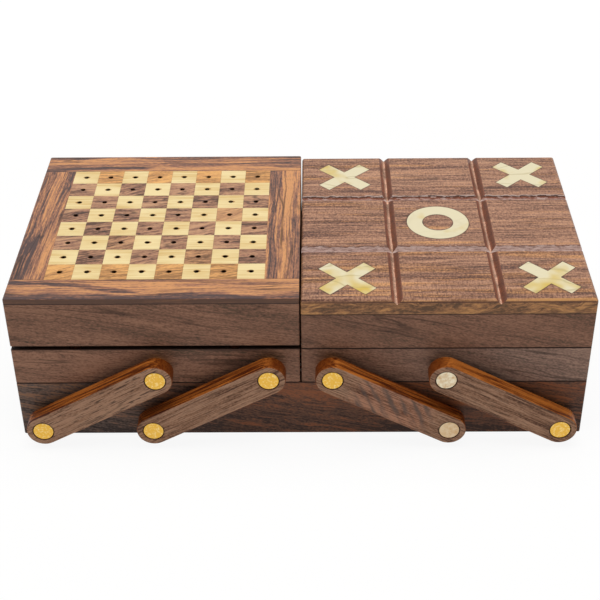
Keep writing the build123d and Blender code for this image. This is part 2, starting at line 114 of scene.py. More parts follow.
class GamesBoxColours(bpy.types.PropertyGroup):
    board_dark: tone("Board, dark", "Heartwood streaks in the side boards", "#584839")
    board_brown: tone("Board, brown", "The side boards' main brown", "#8E6652")
    board_light: tone("Board, light", "The lightest figure in the side boards", "#AC7F66")
    base_dark: tone("Base, dark", "Heartwood streaks in the base", "#3A241B")
    base_brown: tone("Base, brown", "The base's main brown", "#6A4A3A")
    base_light: tone("Base, light", "Reddish lines in the base", "#935A3C")
    base_grey: tone("Base, grey", "The base's brown where it turns grey", "#75635A")
    vein: tone("Vein", "Thin dark lines of sheesham", "#2C1D18")
    border_dark: tone("Border, dark", "Purple brown streaks in the chess board's border", "#54403D")
    border_brown: tone("Border, brown", "Middle brown of the border", "#AA765B")
    border_light: tone("Border, light", "Golden sapwood of the border", "#E0A06B")
    border_side_shade: tone("Border, edge", "The border's shaded, darker outer edge", "#6A4A38")
    square_dark: tone("Dark square, dark", "Streaks in the dark squares", "#5E4234")
    square_brown: tone("Dark square, brown", "Main brown of the dark squares", "#B08065")
    square_light: tone("Dark square, light", "Pale figure of the dark squares", "#D2A27C")
    square_gold: tone("Dark square, golden", "Orange brown of the outer rows' dark squares", "#DCA064")
    top_dark: tone("Grooved top, dark", "Streaks in the grooved top", "#5C3C31")
    top_brown: tone("Grooved top, brown", "Reddish brown of the grooved top", "#A67960")
    top_gold: tone("Grooved top, golden", "Main brown of the golden streaks in the grooved top", "#BE8656")
    top_light: tone("Grooved top, light", "Orange lines in the grooved top", "#CF9D7D")
    swirl_dark: tone("Top edge, dark", "Blotches in the grooved top's edge", "#6A4D36")
    swirl_brown: tone("Top edge, brown", "Main brown of the grooved top's edge", "#AD7A52")
    swirl_light: tone("Top edge, light", "Golden swirls in the grooved top's edge", "#D69C62")
    # The groove tones below, all but the red end grain, are painted light and shade on the grooves' flanks.
    groove_lit_flank: tone("Groove, pale", "Torn, greyed grain in the far flank of a groove", "#C4A59A")
    groove_highlight: tone("Groove, white", "Raised, chipped fibres at a groove's rim", "#DCC6BC")
    groove_red: tone("Groove, red", "End grain in a groove", "#9A5D44")
    groove_bottom_highlight: tone("Groove, lit", "The polished bottom of a groove", "#F6CCB0")
    groove_dark: tone("Groove, dark", "Shaded end grain in a groove", "#7C4830")
    arm_dark: tone("Arm, dark", "Pores and lines in the arms", "#5C3B2A")
    arm_brown: tone("Arm, brown", "The arms' sanded faces", "#9A7157")
    arm_light: tone("Arm, light", "The lightest grain in the arms", "#B98F73")
    arm_red: tone("Arm, between curls", "Warmer wood between the grey bands", "#A06F55")
    arm_curl: tone("Arm, curl", "Grey bands where an arm was cut across a curl", "#5A4F4A")
    edge_dark: tone("Arm edge, dark", "Dark lines in the arms' lacquered edges", "#4A1C08")
    edge_brown: tone("Arm edge, brown", "The arms' lacquered edges", "#96501D")
    edge_light: tone("Arm edge, light", "The lightest grain in the arms' edges", "#C2722F")
    # Also painted shade at the arms' rounded ends.
    edge_end: tone("Arm edge, end grain", "End grain at the arms' rounded ends", "#662C09")
    light_square: tone("Light square", "Maple of the light squares", "#FFE8AE")
    light_grain: tone("Light square, grain", "Grain lines in the maple", "#E6C27E")
    scorch: tone("Scorch", "Browned rim of a peg hole in a light square", "#A56C2C")
    # This tone is also painted shade, inside the peg holes, in the back groove and in the cork.
    hole: tone("Peg hole", "Burnt wood in the peg holes", "#2B140B")
    plywood: tone("Plywood", "Bottoms and dividers", "#B98D62")
    plywood_grain: tone("Plywood, grain", "Grain lines in the plywood", "#9A6C45")
    brass: tone("Brass", "Inlaid noughts and crosses", "#EADFBC")
    brass_gold: tone("Golden brass", "The deeper tone of the inlays", "#DDBF62")
    # A painted reflection: darker lines along the inlays' dips.
    brass_dark_reflection: tone("Shaded brass", "Where an inlay dips and mirrors something darker", "#B9A76F")
    pin: tone("Pin head", "Brass heads of the pivot pins", "#E2B14A")
    pin_worn: tone("Pin head, worn", "Bare, rubbed specks in the pin heads", "#F0CF84")
    # A painted reflection of the white surround on two of the pin heads.
    pin_pale_reflection: tone("Pin head, pale", "The two pin heads that have lost their colour", "#E0D6BC")
    pin_tan: tone("Pin head, tan", "Patches left on the pale pin heads", "#C09C70")
    old_brass: tone("Old brass", "Hinges and their screws", "#A98443")
    # Nearly black: painted shade for the pads, which sit in the dark gap under the left lid.
    cork: tone("Cork", "Stained cork pads under the left lid", "#060403")
    man_light: tone("Light man", "Maple chess men", "#DDB678")
    man_dark: tone("Dark man", "Sheesham chess men", "#5B3423")
    tile: tone("Domino", "Ebonised tiles", "#33261F")
    pip: tone("Pip", "Pips and lines of the dominoes", "#EFE7D2")
    die: tone("Die", "Maple dice", "#E4CFA2")
    card: tone("Card", "Faces and edges of the playing cards", "#F1ECE0")
    card_back: tone("Card back", "Lattice on the backs of the cards", "#8E2B26")
    stick: tone("Stick", "Bamboo pick-up sticks", "#D8B679")


class GamesBoxSizes(bpy.types.PropertyGroup):
    pip_radius: length("Domino pip", "Radius of a domino's pip", 1.3)
    pip_pitch: length("Domino pip pitch", "Between neighbouring pips on a domino", 4.6)
    die_pip_radius: length("Die pip", "Radius of a die's pip", 1.05)
    die_pip_pitch: length("Die pip pitch", "Between neighbouring pips on a die", 2.9)
    pip_rise: length("Pip rise", "How far a pip stands proud", 0.03)
    card_shift: length("Card shift", "How unevenly the pack is squared up", 0.3)
    card_count: bpy.props.IntProperty(name="Cards", description="Cards in the pack", default=52, min=2)
    counter_bevel: length("Counter edge", "Rounding of the loose counters' edges", 0.35)


class GamesBoxLight(bpy.types.PropertyGroup):
    top_power: bpy.props.FloatProperty(
        name="Top light", description="Soft box over the object", default=9.8, min=0.0, unit="POWER"
    )
    front_power: bpy.props.FloatProperty(
        name="Front light", description="Low soft box in front of the object", default=0.74, min=0.0,
        unit="POWER",
    )
    surround: bpy.props.FloatProperty(
        name="Surround", description="Strength of the even light from all round", default=0.16, min=0.0
    )
    shadow: bpy.props.FloatProperty(
        name="Floor shadow", description="How much of the shadow shows on the floor", default=0.12,
        min=0.0, max=1.0, subtype="FACTOR",
    )


# ---- Finishes ----

def new_finish(name):
    """An empty material. Returns it with its tree and its shader."""
    finish = bpy.data.materials.new(name)
    finish.use_nodes = True
    tree = finish.node_tree
    tree.nodes.clear()
    shader = add(tree, "ShaderNodeBsdfPrincipled")
    add(tree, "ShaderNodeOutputMaterial", {"Surface": shader})
    return finish, tree, shader


def paint(node, finish):
    """Give a CAD node its finish."""
    item = NODES[node]
    if not item.material_slots:
        item.data.materials.append(finish)
    for slot in item.material_slots:
        slot.link = "OBJECT"
        slot.material = finish


def millimetres(tree):
    """The place on the object, in millimetres."""
    place = add(tree, "ShaderNodeTexCoord").outputs["Object"]
    return add(tree, "ShaderNodeVectorMath", {0: place, "Scale": 1 / MM}, operation="SCALE")


def position(tree):
    """The place on the object in millimetres, as X, Y and Z."""
    return add(tree, "ShaderNodeSeparateXYZ", (millimetres(tree),)).outputs


def facing(tree):
    """The way that the surface faces, as X, Y and Z."""
    normal = add(tree, "ShaderNodeTexCoord").outputs["Normal"]
    return add(tree, "ShaderNodeSeparateXYZ", (normal,)).outputs


def grain_space(tree, along="X", lean=0.0, seed=(0, 0, 0)):
    """Object coordinates in millimetres, turned so that X follows the grain. Lean tips it, in degrees."""
    turn = (0, math.radians(lean), 0) if along == "X" else (0, 0, math.radians(lean - 90))
    place = add(tree, "ShaderNodeTexCoord").outputs["Object"]
    return add(
        tree, "ShaderNodeMapping",
        {"Vector": place, "Location": seed, "Rotation": turn, "Scale": (1 / MM, 1 / MM, 1 / MM)},
    )


def streaks(tree, place, run, width, detail=2.0, roughness=0.5):
    """Noise drawn out along the grain into streaks of that run and width, in millimetres."""
    shrink = (1 / run, 1 / width, 1 / width)
    drawn = add(tree, "ShaderNodeVectorMath", (place, shrink), operation="MULTIPLY")
    return add(
        tree, "ShaderNodeTexNoise", {"Vector": drawn, "Scale": 1.0, "Detail": detail, "Roughness": roughness}
    )


def apart(tree, first, second):
    """How far apart two values are."""
    gap = add(tree, "ShaderNodeMath", (first, second), operation="SUBTRACT")
    return add(tree, "ShaderNodeMath", (gap,), operation="ABSOLUTE")


def within(tree, value, low, high, feather):
    """1 where a value lies between two limits and 0 elsewhere, with edges softened by a feather."""
    rise = add(tree, "ShaderNodeMapRange", (value, low - feather, low + feather))
    fall = add(tree, "ShaderNodeMapRange", (value, high + feather, high - feather))
    return add(tree, "ShaderNodeMath", (rise, fall), operation="MULTIPLY")


def graded(tree, axis, start, end, first, last):
    """A number that goes from first to last between two places along an axis, 0 to 2, in millimetres."""
    return add(tree, "ShaderNodeMapRange", (position(tree)[axis], start, end, first, last))


def stained(tree, under, over, value, start=0.0, end=1.0, least=0.0, most=1.0):
    """One colour laid over another: its share goes from least to most as a value goes from start to end."""
    share = add(tree, "ShaderNodeMapRange", (value, start, end, least, most))
    return add(tree, "ShaderNodeMix", {0: share, 6: under, 7: over}, data_type="RGBA").outputs[2]


def retoned(tree, wood, old, new):
    """The same wood with its main tone changed from one colour to another."""
    plain = add(tree, "ShaderNodeVectorMath", (wood, old[:3]), operation="DIVIDE")
    return add(tree, "ShaderNodeVectorMath", (plain, new[:3]), operation="MULTIPLY").outputs[0]


# Plain sheesham, from which each board differs. Pairs are a streak's run and width. Lengths are millimetres.
PLAIN = {
    "wander": 9.0, "bend": (75, 16), "figure": (100, 6), "fibre_size": (24, 0.6), "fibre": 1.0,
    "spread": 0.16, "veins": (150, 9), "vein_width": 0.018, "vein_depth": 0.6, "pore_size": (2.6, 0.5),
    "pores": 0.35, "grit_size": (1.3, 0.55), "grit": 0.9,
}


def sheesham(tree, place, tones, vein, look, drift=None):
    """Indian rosewood: flowing dark heartwood bands in warm brown, thin near-black lines, and open pores that
    show as short dark dashes along the grain. Returns its colour, and the relief of its fibres and pores."""
    bend = streaks(tree, place, *look["bend"]).outputs["Color"]
    bend = add(tree, "ShaderNodeVectorMath", (bend, (0.5, 0.5, 0.5)), operation="SUBTRACT")
    wander = (0, look["wander"], look["wander"])
    bent = add(tree, "ShaderNodeVectorMath", (bend, wander, place), operation="MULTIPLY_ADD")
    figure = streaks(tree, bent, *look["figure"], 4.0, 0.6)
    fibre = streaks(tree, bent, *look["fibre_size"], 3.0, 0.65)
    height = add(tree, "ShaderNodeMath", (fibre, look["fibre"], figure), operation="MULTIPLY_ADD")
    # Rays and cut fibre ends: a fine, short grit all over.
    grit = streaks(tree, bent, *look["grit_size"], 1.0)
    height = add(tree, "ShaderNodeMath", (grit, look["grit"], height), operation="MULTIPLY_ADD")
    level = (look["fibre"] + look["grit"]) / 2
    height = add(tree, "ShaderNodeMath", (height, level), operation="SUBTRACT")
    if drift:
        height = add(tree, "ShaderNodeMath", (height, drift), operation="ADD")
    dark, brown, light = tones
    reach = 1.4 * look["spread"]
    stops = [(0.5 - reach, dark), (0.5, brown), (0.5 + reach, light)]
    wood = add(tree, "ShaderNodeValToRGB", (height,), stops)
    lines = apart(tree, streaks(tree, bent, *look["veins"], 1.0), 0.5)
    lines = add(
        tree, "ShaderNodeMapRange", (lines, 0.0, look["vein_width"], look["vein_depth"], 0.0),
        interpolation_type="SMOOTHSTEP",
    )
    broken = add(tree, "ShaderNodeMapRange", (streaks(tree, place, 40, 9), 0.42, 0.58))
    lines = add(tree, "ShaderNodeMath", (lines, broken), operation="MULTIPLY")
    wood = stained(tree, wood, vein, lines)
    pores = streaks(tree, bent, *look["pore_size"], 1.0)
    pores = add(tree, "ShaderNodeMapRange", (pores, 0.57, 0.67, 0.0, look["pores"]))
    wood = stained(tree, wood, vein, pores)
    relief = add(tree, "ShaderNodeMath", (fibre, pores), operation="SUBTRACT")
    return wood, relief


def pale_wood(tree, place, tones, run=30, width=1.2):
    """Maple or bamboo: close, even and pale, with faint darker grain lines. Returns its colour and relief."""
    base, line = tones
    grain = streaks(tree, place, run, width, 3.0, 0.6)
    cloudy = add(tree, "ShaderNodeMath", (grain, streaks(tree, place, 25, 9)), operation="MULTIPLY")
    return stained(tree, base, line, cloudy, 0.17, 0.4), grain


def dark_edges(tree, wood, levels, shade, width=0.3):
    """Dust and shade that gather where one board meets the next, at these heights in millimetres."""
    for level in levels:
        away = apart(tree, position(tree)[2], level)
        wood = stained(tree, wood, shade, away, 0.5 * width, 1.3 * width, 0.9, 0.0)
    return wood


# Painted shade for the faces that look into the narrow gap between the two boxes.
GAP_SHADE = colour("#0E0907")


def lacquer(tree, shader, wood, relief, roughness=0.42, depth=0.08, shine=0.18, gap_side=0):
    """Satin lacquer over open-grained wood. It fills most pores, so the gloss is even and soft. The side
    towards the other box, which faces +X (1) or -X (-1), can be left unlacquered: dull and flat, with
    painted shade for the narrow gap it faces."""
    gloss = add(tree, "ShaderNodeMapRange", (relief, 0.0, 1.0, roughness - 0.04, roughness + 0.12))
    strength = 0.3
    if gap_side:
        facing_share = add(tree, "ShaderNodeMath", (facing(tree)[0], gap_side), operation="MULTIPLY")
        facing_share = add(tree, "ShaderNodeMapRange", (facing_share, 0.8, 0.95))
        gloss = add(tree, "ShaderNodeMath", (gloss, facing_share), operation="MAXIMUM")
        strength = add(tree, "ShaderNodeMapRange", (facing_share, 0.0, 1.0, strength, 0.0))
        # Painted shade: the side towards the other box is darkened, for the narrow gap between the boxes.
        wood = stained(tree, wood, GAP_SHADE, facing_share, most=0.45)
    bump = add(tree, "ShaderNodeBump", {"Strength": strength, "Distance": depth * MM, "Height": relief})
    fill(shader, {"Base Color": wood, "Roughness": gloss, "Normal": bump, "Specular IOR Level": shine})


def brass(tree, shader, tones, patch=14.0, wave=9.0, wave_depth=0.5, roughness=0.3, more=0.0, dips=0.5):
    """Sheet brass, rubbed down with the wood: it is never quite flat, so its reflections wave, and its tone
    shifts between pale and golden in patches. A third tone is a painted reflection along its dips. Returns
    its colour."""
    place = grain_space(tree)
    patches = add(tree, "ShaderNodeMath", (streaks(tree, place, patch, patch), more), operation="ADD")
    metal = stained(tree, tones[0], tones[1], patches, 0.5, 0.7)
    if len(tones) > 2:
        dip = apart(tree, streaks(tree, place, 26, 9, 1.0), 0.55)
        metal = stained(tree, metal, tones[2], dip, 0.0, 0.03, dips, 0.0)
    scratch = streaks(tree, place, 9.0, 0.3, 2.0)
    waves = streaks(tree, place, wave, wave, 1.0)
    gloss = add(tree, "ShaderNodeMapRange", (scratch, 0.0, 1.0, roughness - 0.08, roughness + 0.12))
    swell = add(tree, "ShaderNodeBump", {"Strength": 1.0, "Distance": wave_depth * MM, "Height": waves})
    bump = add(
        tree, "ShaderNodeBump", {"Strength": 0.15, "Distance": 0.03 * MM, "Height": scratch, "Normal": swell}
    )
    fill(shader, {"Base Color": metal, "Roughness": gloss, "Normal": bump, "Metallic": 1.0})
    return metal


# ---- Shapes ----

def solids(node):
    """Lowest and highest corner of each separate solid of a CAD node, ordered by place."""
    loose = bmesh.new()
    loose.from_mesh(NODES[node].data)
    bmesh.ops.remove_doubles(loose, verts=loose.verts, dist=1e-6)
    waiting = set(loose.verts)
    boxes = []
    while waiting:
        found = [waiting.pop()]
        corners = []
        while found:
            vertex = found.pop()
            corners.append(vertex.co.copy())
            for edge in vertex.link_edges:
                other = edge.other_vert(vertex)
                if other in waiting:
                    waiting.remove(other)
                    found.append(other)
        low = Vector(min(corner[axis] for corner in corners) for axis in range(3))
        high = Vector(max(corner[axis] for corner in corners) for axis in range(3))
        boxes.append((low, high))
    loose.free()
    return sorted(boxes, key=lambda box: tuple(round(value, 5) for value in (*box[0], *box[1])))


def finished_mesh(name, shape):
    """Turn a bmesh into a mesh."""
    mesh = bpy.data.meshes.new(name)
    shape.to_mesh(mesh)
    shape.free()
    return mesh


def turned(name, profile, sides=20, hollow=False):
    """A mesh turned about Z from (radius, height) pairs: closed at both ends, or hollow, from its last pair
    back to its first."""
    shape = bmesh.new()
    turns = [2 * math.pi * side / sides for side in range(sides)]
    rings = []
    for radius, level in profile:
        if radius == 0:
            rings.append([shape.verts.new((0, 0, level))] * sides)
            continue
        rings.append([shape.verts.new((radius * math.cos(t), radius * math.sin(t), level)) for t in turns])
    for lower, upper in zip(rings, rings[1:] + rings[:hollow]):
        for side in range(sides):
            corners = [lower[side], lower[side - 1], upper[side - 1], upper[side]]
            shape.faces.new(dict.fromkeys(corners))
    bmesh.ops.recalc_face_normals(shape, faces=shape.faces)
    return finished_mesh(name, shape)


def raise_outline(shape, corners, rise):
    """Add to a mesh the solid that a flat outline makes, raised along a vector. Returns its faces."""
    flat = shape.faces.new([shape.verts.new(corner) for corner in corners])
    copied = bmesh.ops.extrude_face_region(shape, geom=[flat])["geom"]
    fresh = [item for item in copied if isinstance(item, bmesh.types.BMVert)]
    bmesh.ops.translate(shape, vec=rise, verts=fresh)
    faces = {face for vertex in fresh for face in vertex.link_faces} | {flat}
    bmesh.ops.recalc_face_normals(shape, faces=list(faces))
    return faces


def place_mesh(name, spots, turns):
    """A mesh of bare vertices that carry the direction in which something is to face."""
    mesh = bpy.data.meshes.new(name)
    mesh.from_pydata(spots, [], [])
    direction = mesh.attributes.new("facing", "FLOAT_VECTOR", "POINT")
    for number, turn in enumerate(turns):
        direction.data[number].vector = turn
    return mesh


def new_tree(name, sizes):
    """A geometry tree with a geometry input, the named inputs, and a geometry output, and its inputs."""
    tree = bpy.data.node_groups.new(name, "GeometryNodeTree")
    tree.interface.new_socket(name="Places", in_out="INPUT", socket_type="NodeSocketGeometry")
    for label, kind in sizes.items():
        tree.interface.new_socket(name=label, in_out="INPUT", socket_type=f"NodeSocket{kind}")
    tree.interface.new_socket(name="Shape", in_out="OUTPUT", socket_type="NodeSocketGeometry")
    return tree, add(tree, "NodeGroupInput").outputs


def close_tree(tree, instances, finish):
    """End a tree: plain geometry with its finish."""
    real = add(tree, "GeometryNodeRealizeInstances", {"Geometry": instances})
    dressed = add(tree, "GeometryNodeSetMaterial", {"Geometry": real, "Material": finish})
    add(tree, "NodeGroupOutput", {"Shape": dressed})


def grow(name, start, tree, values):
    """Run a tree on a mesh, and return the plain mesh object that it makes."""
    scene = bpy.context.scene
    source = bpy.data.objects.new(f"{name}_places", start)
    modifier = source.modifiers.new("Shape", "NODES")
    modifier.node_group = tree
    for item in tree.interface.items_tree:
        if item.name in values:
            modifier[item.identifier] = values[item.name]
    scene.collection.objects.link(source)
    ready = source.evaluated_get(bpy.context.evaluated_depsgraph_get())
    mesh = bpy.data.meshes.new_from_object(ready)
    source.modifiers.remove(modifier)
    bpy.data.objects.remove(source)
    mesh.name = name
    piece = bpy.data.objects.new(name, mesh)
    scene.collection.objects.link(piece)
    return piece


def repeat_tree(name):
    """Repeats a shape at every vertex, with its Z along that vertex's direction and a roll about it."""
    tree, start = new_tree(name, {"Part": "Object", "Roll": "Float", "Seed": "Int", "Finish": "Material"})
    way = add(tree, "GeometryNodeInputNamedAttribute", {"Name": "facing"}, data_type="FLOAT_VECTOR")
    aligned = add(tree, "FunctionNodeAlignRotationToVector", {"Vector": way}, axis="Z")
    roll = add(
        tree, "FunctionNodeRandomValue", {2: 0.0, 3: start["Roll"], "Seed": start["Seed"]}, data_type="FLOAT"
    )
    spin = add(tree, "ShaderNodeCombineXYZ", {"Z": roll.outputs[1]})
    spun = add(
        tree, "FunctionNodeRotateRotation", {"Rotation": aligned, "Rotate By": spin}, rotation_space="LOCAL"
    )
    part = add(tree, "GeometryNodeObjectInfo", {"Object": start["Part"]}).outputs["Geometry"]
    copies = add(
        tree, "GeometryNodeInstanceOnPoints", {"Points": start["Places"], "Instance": part, "Rotation": spun}
    )
    close_tree(tree, copies, start["Finish"])
    return tree


# ---- Operators: the boxes ----

# The lean of the grain in degrees, and how each of the boards in front differs from plain.
FRONTS = {
    "base_front": (-11.0, {
        "figure": (90, 3.0), "wander": 12.0, "bend": (60, 14), "spread": 0.14, "veins": (160, 5),
        "fibre_size": (30, 0.7), "fibre": 1.1, "grit": 0.55, "pores": 0.25}),
    "left_tray_front": (-5.0, {"figure": (60, 9), "wander": 12.0, "spread": 0.17, "grit": 0.7}),
    "right_tray_front": (-12.0, {"spread": 0.26}),
    "left_lid_front": (-9.0, {
        "figure": (80, 10), "bend": (70, 16), "spread": 0.18, "fibre": 0.8, "grit": 0.65}),
    "right_lid_front": (-14.0, {"figure": (90, 9), "wander": 12.0, "spread": 0.26}),
}
# Boards that change in tone along their length: from where, to where, and the two levels.
DRIFTS = {
    "base_front": (-90, -30, -0.01, 0.0),
    "left_tray_front": (-85, -55, 0.12, 0.01),
    "right_tray_front": (30, 100, 0.0, 0.05),
}
# The base's front also grows lighter from its foot to its rim, in the same terms.
BASE_RISE = (3, 27, -0.09, 0.1)
# Boards that turn greyer towards one end: from where, to where, and how grey at each.
GREYED = {"base_front": (-90, -30, 1.0, 0.0), "right_tray_front": (20, 90, 0.0, 0.4)}


def board_finish(node, number, colours):
    """Sheesham under satin lacquer: warm brown with flowing dark bands, and a soft, even shine. Each board is
    cut from its own stretch of wood."""
    finish, tree, shader = new_finish(f"lacquered_sheesham_{node}")
    lean, differences = FRONTS.get(node, (5.0 * math.sin(2.3 * number), {}))
    stretch = (37.0 * number, 11.0 * number, 23.0 * number)
    place = grain_space(tree, "Y" if node.endswith("_end") else "X", lean, stretch)
    tones = (colours.board_dark, colours.board_brown, colours.board_light)
    if node.startswith("base"):
        tones = (colours.base_dark, colours.base_brown, colours.base_light)
    drift = graded(tree, 0, *DRIFTS[node]) if node in DRIFTS else None
    if node == "base_front":
        drift = add(tree, "ShaderNodeMath", (drift, graded(tree, 2, *BASE_RISE)), operation="ADD")
    wood, relief = sheesham(tree, place, tones, colours.vein, dict(PLAIN, **differences), drift)
    if node in GREYED:
        grey = retoned(tree, wood, colours.base_brown, colours.base_grey)
        wood = stained(tree, wood, grey, graded(tree, 0, *GREYED[node]))
    low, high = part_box(node)
    wood = dark_edges(tree, wood, (low.z / MM, high.z / MM), colours.vein)
    # The sides that meet in the middle of the box never got their lacquer; they also carry painted shade.
    middle = {"left": 1, "right": -1}.get(node.split("_")[0], 0)
    lacquer(tree, shader, wood, relief, gap_side=0 if node.endswith("outer_end") else middle)
    return finish


class GAMESBOX_OT_boards(bpy.types.Operator):
    """Give the side boards of the five boxes their sheesham, and the bottoms and dividers their plywood."""

    bl_idname = "gamesbox.boards"
    bl_label = "Boards and bottoms"

    def execute(self, context):
        colours = context.scene.games_box_colours
        names = [node for node in NODES if node.endswith(("_front", "_back", "_end"))]
        for number, node in enumerate(sorted(names)):
            paint(node, board_finish(node, number, colours))

        # Thin hardwood plywood, unlacquered: flat, dull and faintly lined.
        finish, tree, shader = new_finish("birch_plywood")
        tones = (colours.plywood, colours.plywood_grain)
        wood, relief = pale_wood(tree, grain_space(tree), tones, run=60, width=2.0)
        lacquer(tree, shader, wood, relief, roughness=0.6, depth=0.05)
        for node in NODES:
            if node.endswith(("_bottom", "_dividers", "_floor", "_backing")):
                paint(node, finish)
        return {"FINISHED"}


# Bands of dark heartwood in the chess board's border: the way each runs, where it begins and ends, how far
# from the middle of the board it lies at each end, half its width, and how much it darkens. Millimetres.
HEART_BANDS = (
    ("X", -70, -36, -61.6, -62.4, 3.6, 0.26),
    ("X", -36, 70, -62.6, -62.0, 3.0, 0.23),
    ("X", -66, -8, -50.0, -57.0, 1.6, 0.32),
    ("X", -66, -12, 50.2, 51.2, 1.7, 0.36),
    ("X", -4, 70, 60.5, 60.5, 3.4, 0.13),
    ("X", -70, 70, 62.6, 62.6, 1.2, 0.16),
    ("X", -60, 70, -56.5, -56.0, 3.4, -0.09),
    ("Y", -60, 60, -61.8, -62.8, 5.6, 0.22),
    ("Y", -60, 60, -51.8, -51.8, 4.0, 0.05),
    ("Y", -60, 60, -49.0, -49.2, 1.4, 0.18),
    ("Y", -60, 60, 49.4, 50.2, 2.2, 0.22),
    ("Y", -60, 60, 51.6, 55.2, 1.2, 0.16),
    ("Y", -60, 60, 55.5, 58.5, 3.4, -0.13),
    ("Y", -60, 4, 62.2, 61.4, 3.0, 0.24),
)
# How the border's wood differs from plain sheesham.
BORDER_LOOK = dict(
    PLAIN, figure=(140, 5.0), wander=8.0, fibre_size=(45, 0.9), fibre=1.3, veins=(110, 5), vein_width=0.03,
    vein_depth=0.75, spread=0.16, grit_size=(2.2, 0.8), grit=0.4, pores=0.2,
)


def heartwood(tree, across, depth, beside, waver):
    """How light the border's wood is: a little paler than plain, and lowered by each dark band."""
    level = 0.05
    for way, begin, end, first, last, half, darker in HEART_BANDS:
        along, over = (across, depth) if way == "X" else (depth, across)
        line = add(tree, "ShaderNodeMapRange", (along, begin, end, first, last))
        away = apart(tree, add(tree, "ShaderNodeMath", (over, waver), operation="ADD"), line)
        shade = add(
            tree, "ShaderNodeMapRange", (away, 0.4 * half, 1.3 * half, -darker, 0.0),
            interpolation_type="SMOOTHSTEP",
        )
        reach = within(tree, along, begin, end, 3.0)
        if way == "Y":
            reach = add(tree, "ShaderNodeMath", (reach, beside), operation="MULTIPLY")
        level = add(tree, "ShaderNodeMath", (shade, reach, level), operation="MULTIPLY_ADD")
    return level


def border_finish(colours, low, high):
    """Sheesham strips round the squares, whose corners are given: golden sapwood crossed by dark heartwood, a
    little glossier than the sides. The strips beside the squares run front to back."""
    finish, tree, shader = new_finish("lacquered_sheesham_border")
    outer_low, outer_high = (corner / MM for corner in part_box("left_lid_border"))
    centre = (outer_low + outer_high) / 2
    spot = position(tree)
    beside = within(tree, spot[1], low.y, high.y, 0.02)
    lengthways = grain_space(tree, "X", 1.0, (40, 7, 3))
    crossways = grain_space(tree, "Y", 1.5, (90, 31, 5))
    grain = add(tree, "ShaderNodeMix", {0: beside, 4: lengthways, 5: crossways}, data_type="VECTOR")
    grain = grain.outputs[1]
    across = add(tree, "ShaderNodeMath", (spot[0], centre.x), operation="SUBTRACT")
    waver = add(tree, "ShaderNodeMath", (streaks(tree, grain, 26, 7), 9.0, -4.5), operation="MULTIPLY_ADD")
    drift = heartwood(tree, across, spot[1], beside, waver)
    tones = (colours.border_dark, colours.border_brown, colours.border_light)
    wood, relief = sheesham(tree, grain, tones, colours.vein, BORDER_LOOK, drift)
    # Glue lines where the side strips meet the front and back ones.
    ends = add(tree, "ShaderNodeMath", (spot[1],), operation="ABSOLUTE")
    glue = within(tree, ends, high.y - 0.12, high.y + 0.12, 0.15)
    wood = stained(tree, wood, colours.vein, glue, most=0.7)
    # The border's sides are drawn darker than its top: painted shade.
    wood = stained(tree, wood, colours.border_side_shade, facing(tree)[2], 0.4, 0.7, 0.8, 0.0)
    wood = dark_edges(tree, wood, (outer_low.z,), colours.vein, 0.25)
    lacquer(tree, shader, wood, relief, shine=0.3, gap_side=1)
    return finish


# How the wood of the dark squares differs: it is finer, to suit their size.
SQUARE_LOOK = dict(
    PLAIN, figure=(26, 3.2), bend=(20, 6), wander=5.0, fibre_size=(14, 0.8), fibre=0.8, veins=(24, 4),
    vein_width=0.06, vein_depth=0.7, spread=0.12, grit_size=(1.6, 0.8), grit=0.35, pores=0.2,
)


def dark_square_wood(tree, colours, grain, spot, row, chances):
    """Sheesham with a slant and tone of its own in each square. The outer rows and a few more are golden."""
    slant = add(tree, "ShaderNodeMath", (chances[0], 5.0), operation="MULTIPLY")
    rise = add(tree, "ShaderNodeMath", (spot[0], slant), operation="MULTIPLY")
    tipped = add(tree, "ShaderNodeCombineXYZ", {1: rise})
    grain = add(tree, "ShaderNodeVectorMath", (grain, tipped), operation="SUBTRACT")
    drift = add(tree, "ShaderNodeMath", (chances[1], 0.1, -0.04), operation="MULTIPLY_ADD")
    tones = (colours.square_dark, colours.square_brown, colours.square_light)
    wood, relief = sheesham(tree, grain, tones, colours.vein, SQUARE_LOOK, drift)
    outer = add(tree, "ShaderNodeMath", (1.0, within(tree, row, 0.5, 6.5, 0.1)), operation="SUBTRACT")
    stray = add(tree, "ShaderNodeMapRange", (chances[2], 0.8, 0.9, 0.0, 0.35))
    golden = add(tree, "ShaderNodeMath", (outer, stray), operation="MAXIMUM")
    warm = retoned(tree, wood, colours.square_brown, colours.square_gold)
    warm = stained(tree, warm, colours.square_gold, 0.35)
    return stained(tree, wood, warm, golden), relief


def drilled(tree, wood, rim, spot, chance, square, reach, strength):
    """The rim of each peg hole, browned by the drill: the mark leans a little its own way."""
    centre = add(
        tree, "ShaderNodeVectorMath", (chance, (0.06, 0.06, 0), (0.47, 0.47, 0)), operation="MULTIPLY_ADD"
    )
    away = add(tree, "ShaderNodeCombineXYZ", (spot[0], spot[1]))
    away = add(tree, "ShaderNodeVectorMath", (away, centre), operation="SUBTRACT")
    away = add(tree, "ShaderNodeVectorMath", (away, (0.75, 1.25, 0)), operation="MULTIPLY")
    away = add(tree, "ShaderNodeVectorMath", (away,), operation="LENGTH").outputs["Value"]
    browned = add(
        tree, "ShaderNodeMapRange", (away, 0.9 / square, reach / square, strength, 0.0),
        interpolation_type="SMOOTHSTEP",
    )
    return stained(tree, wood, rim, browned)


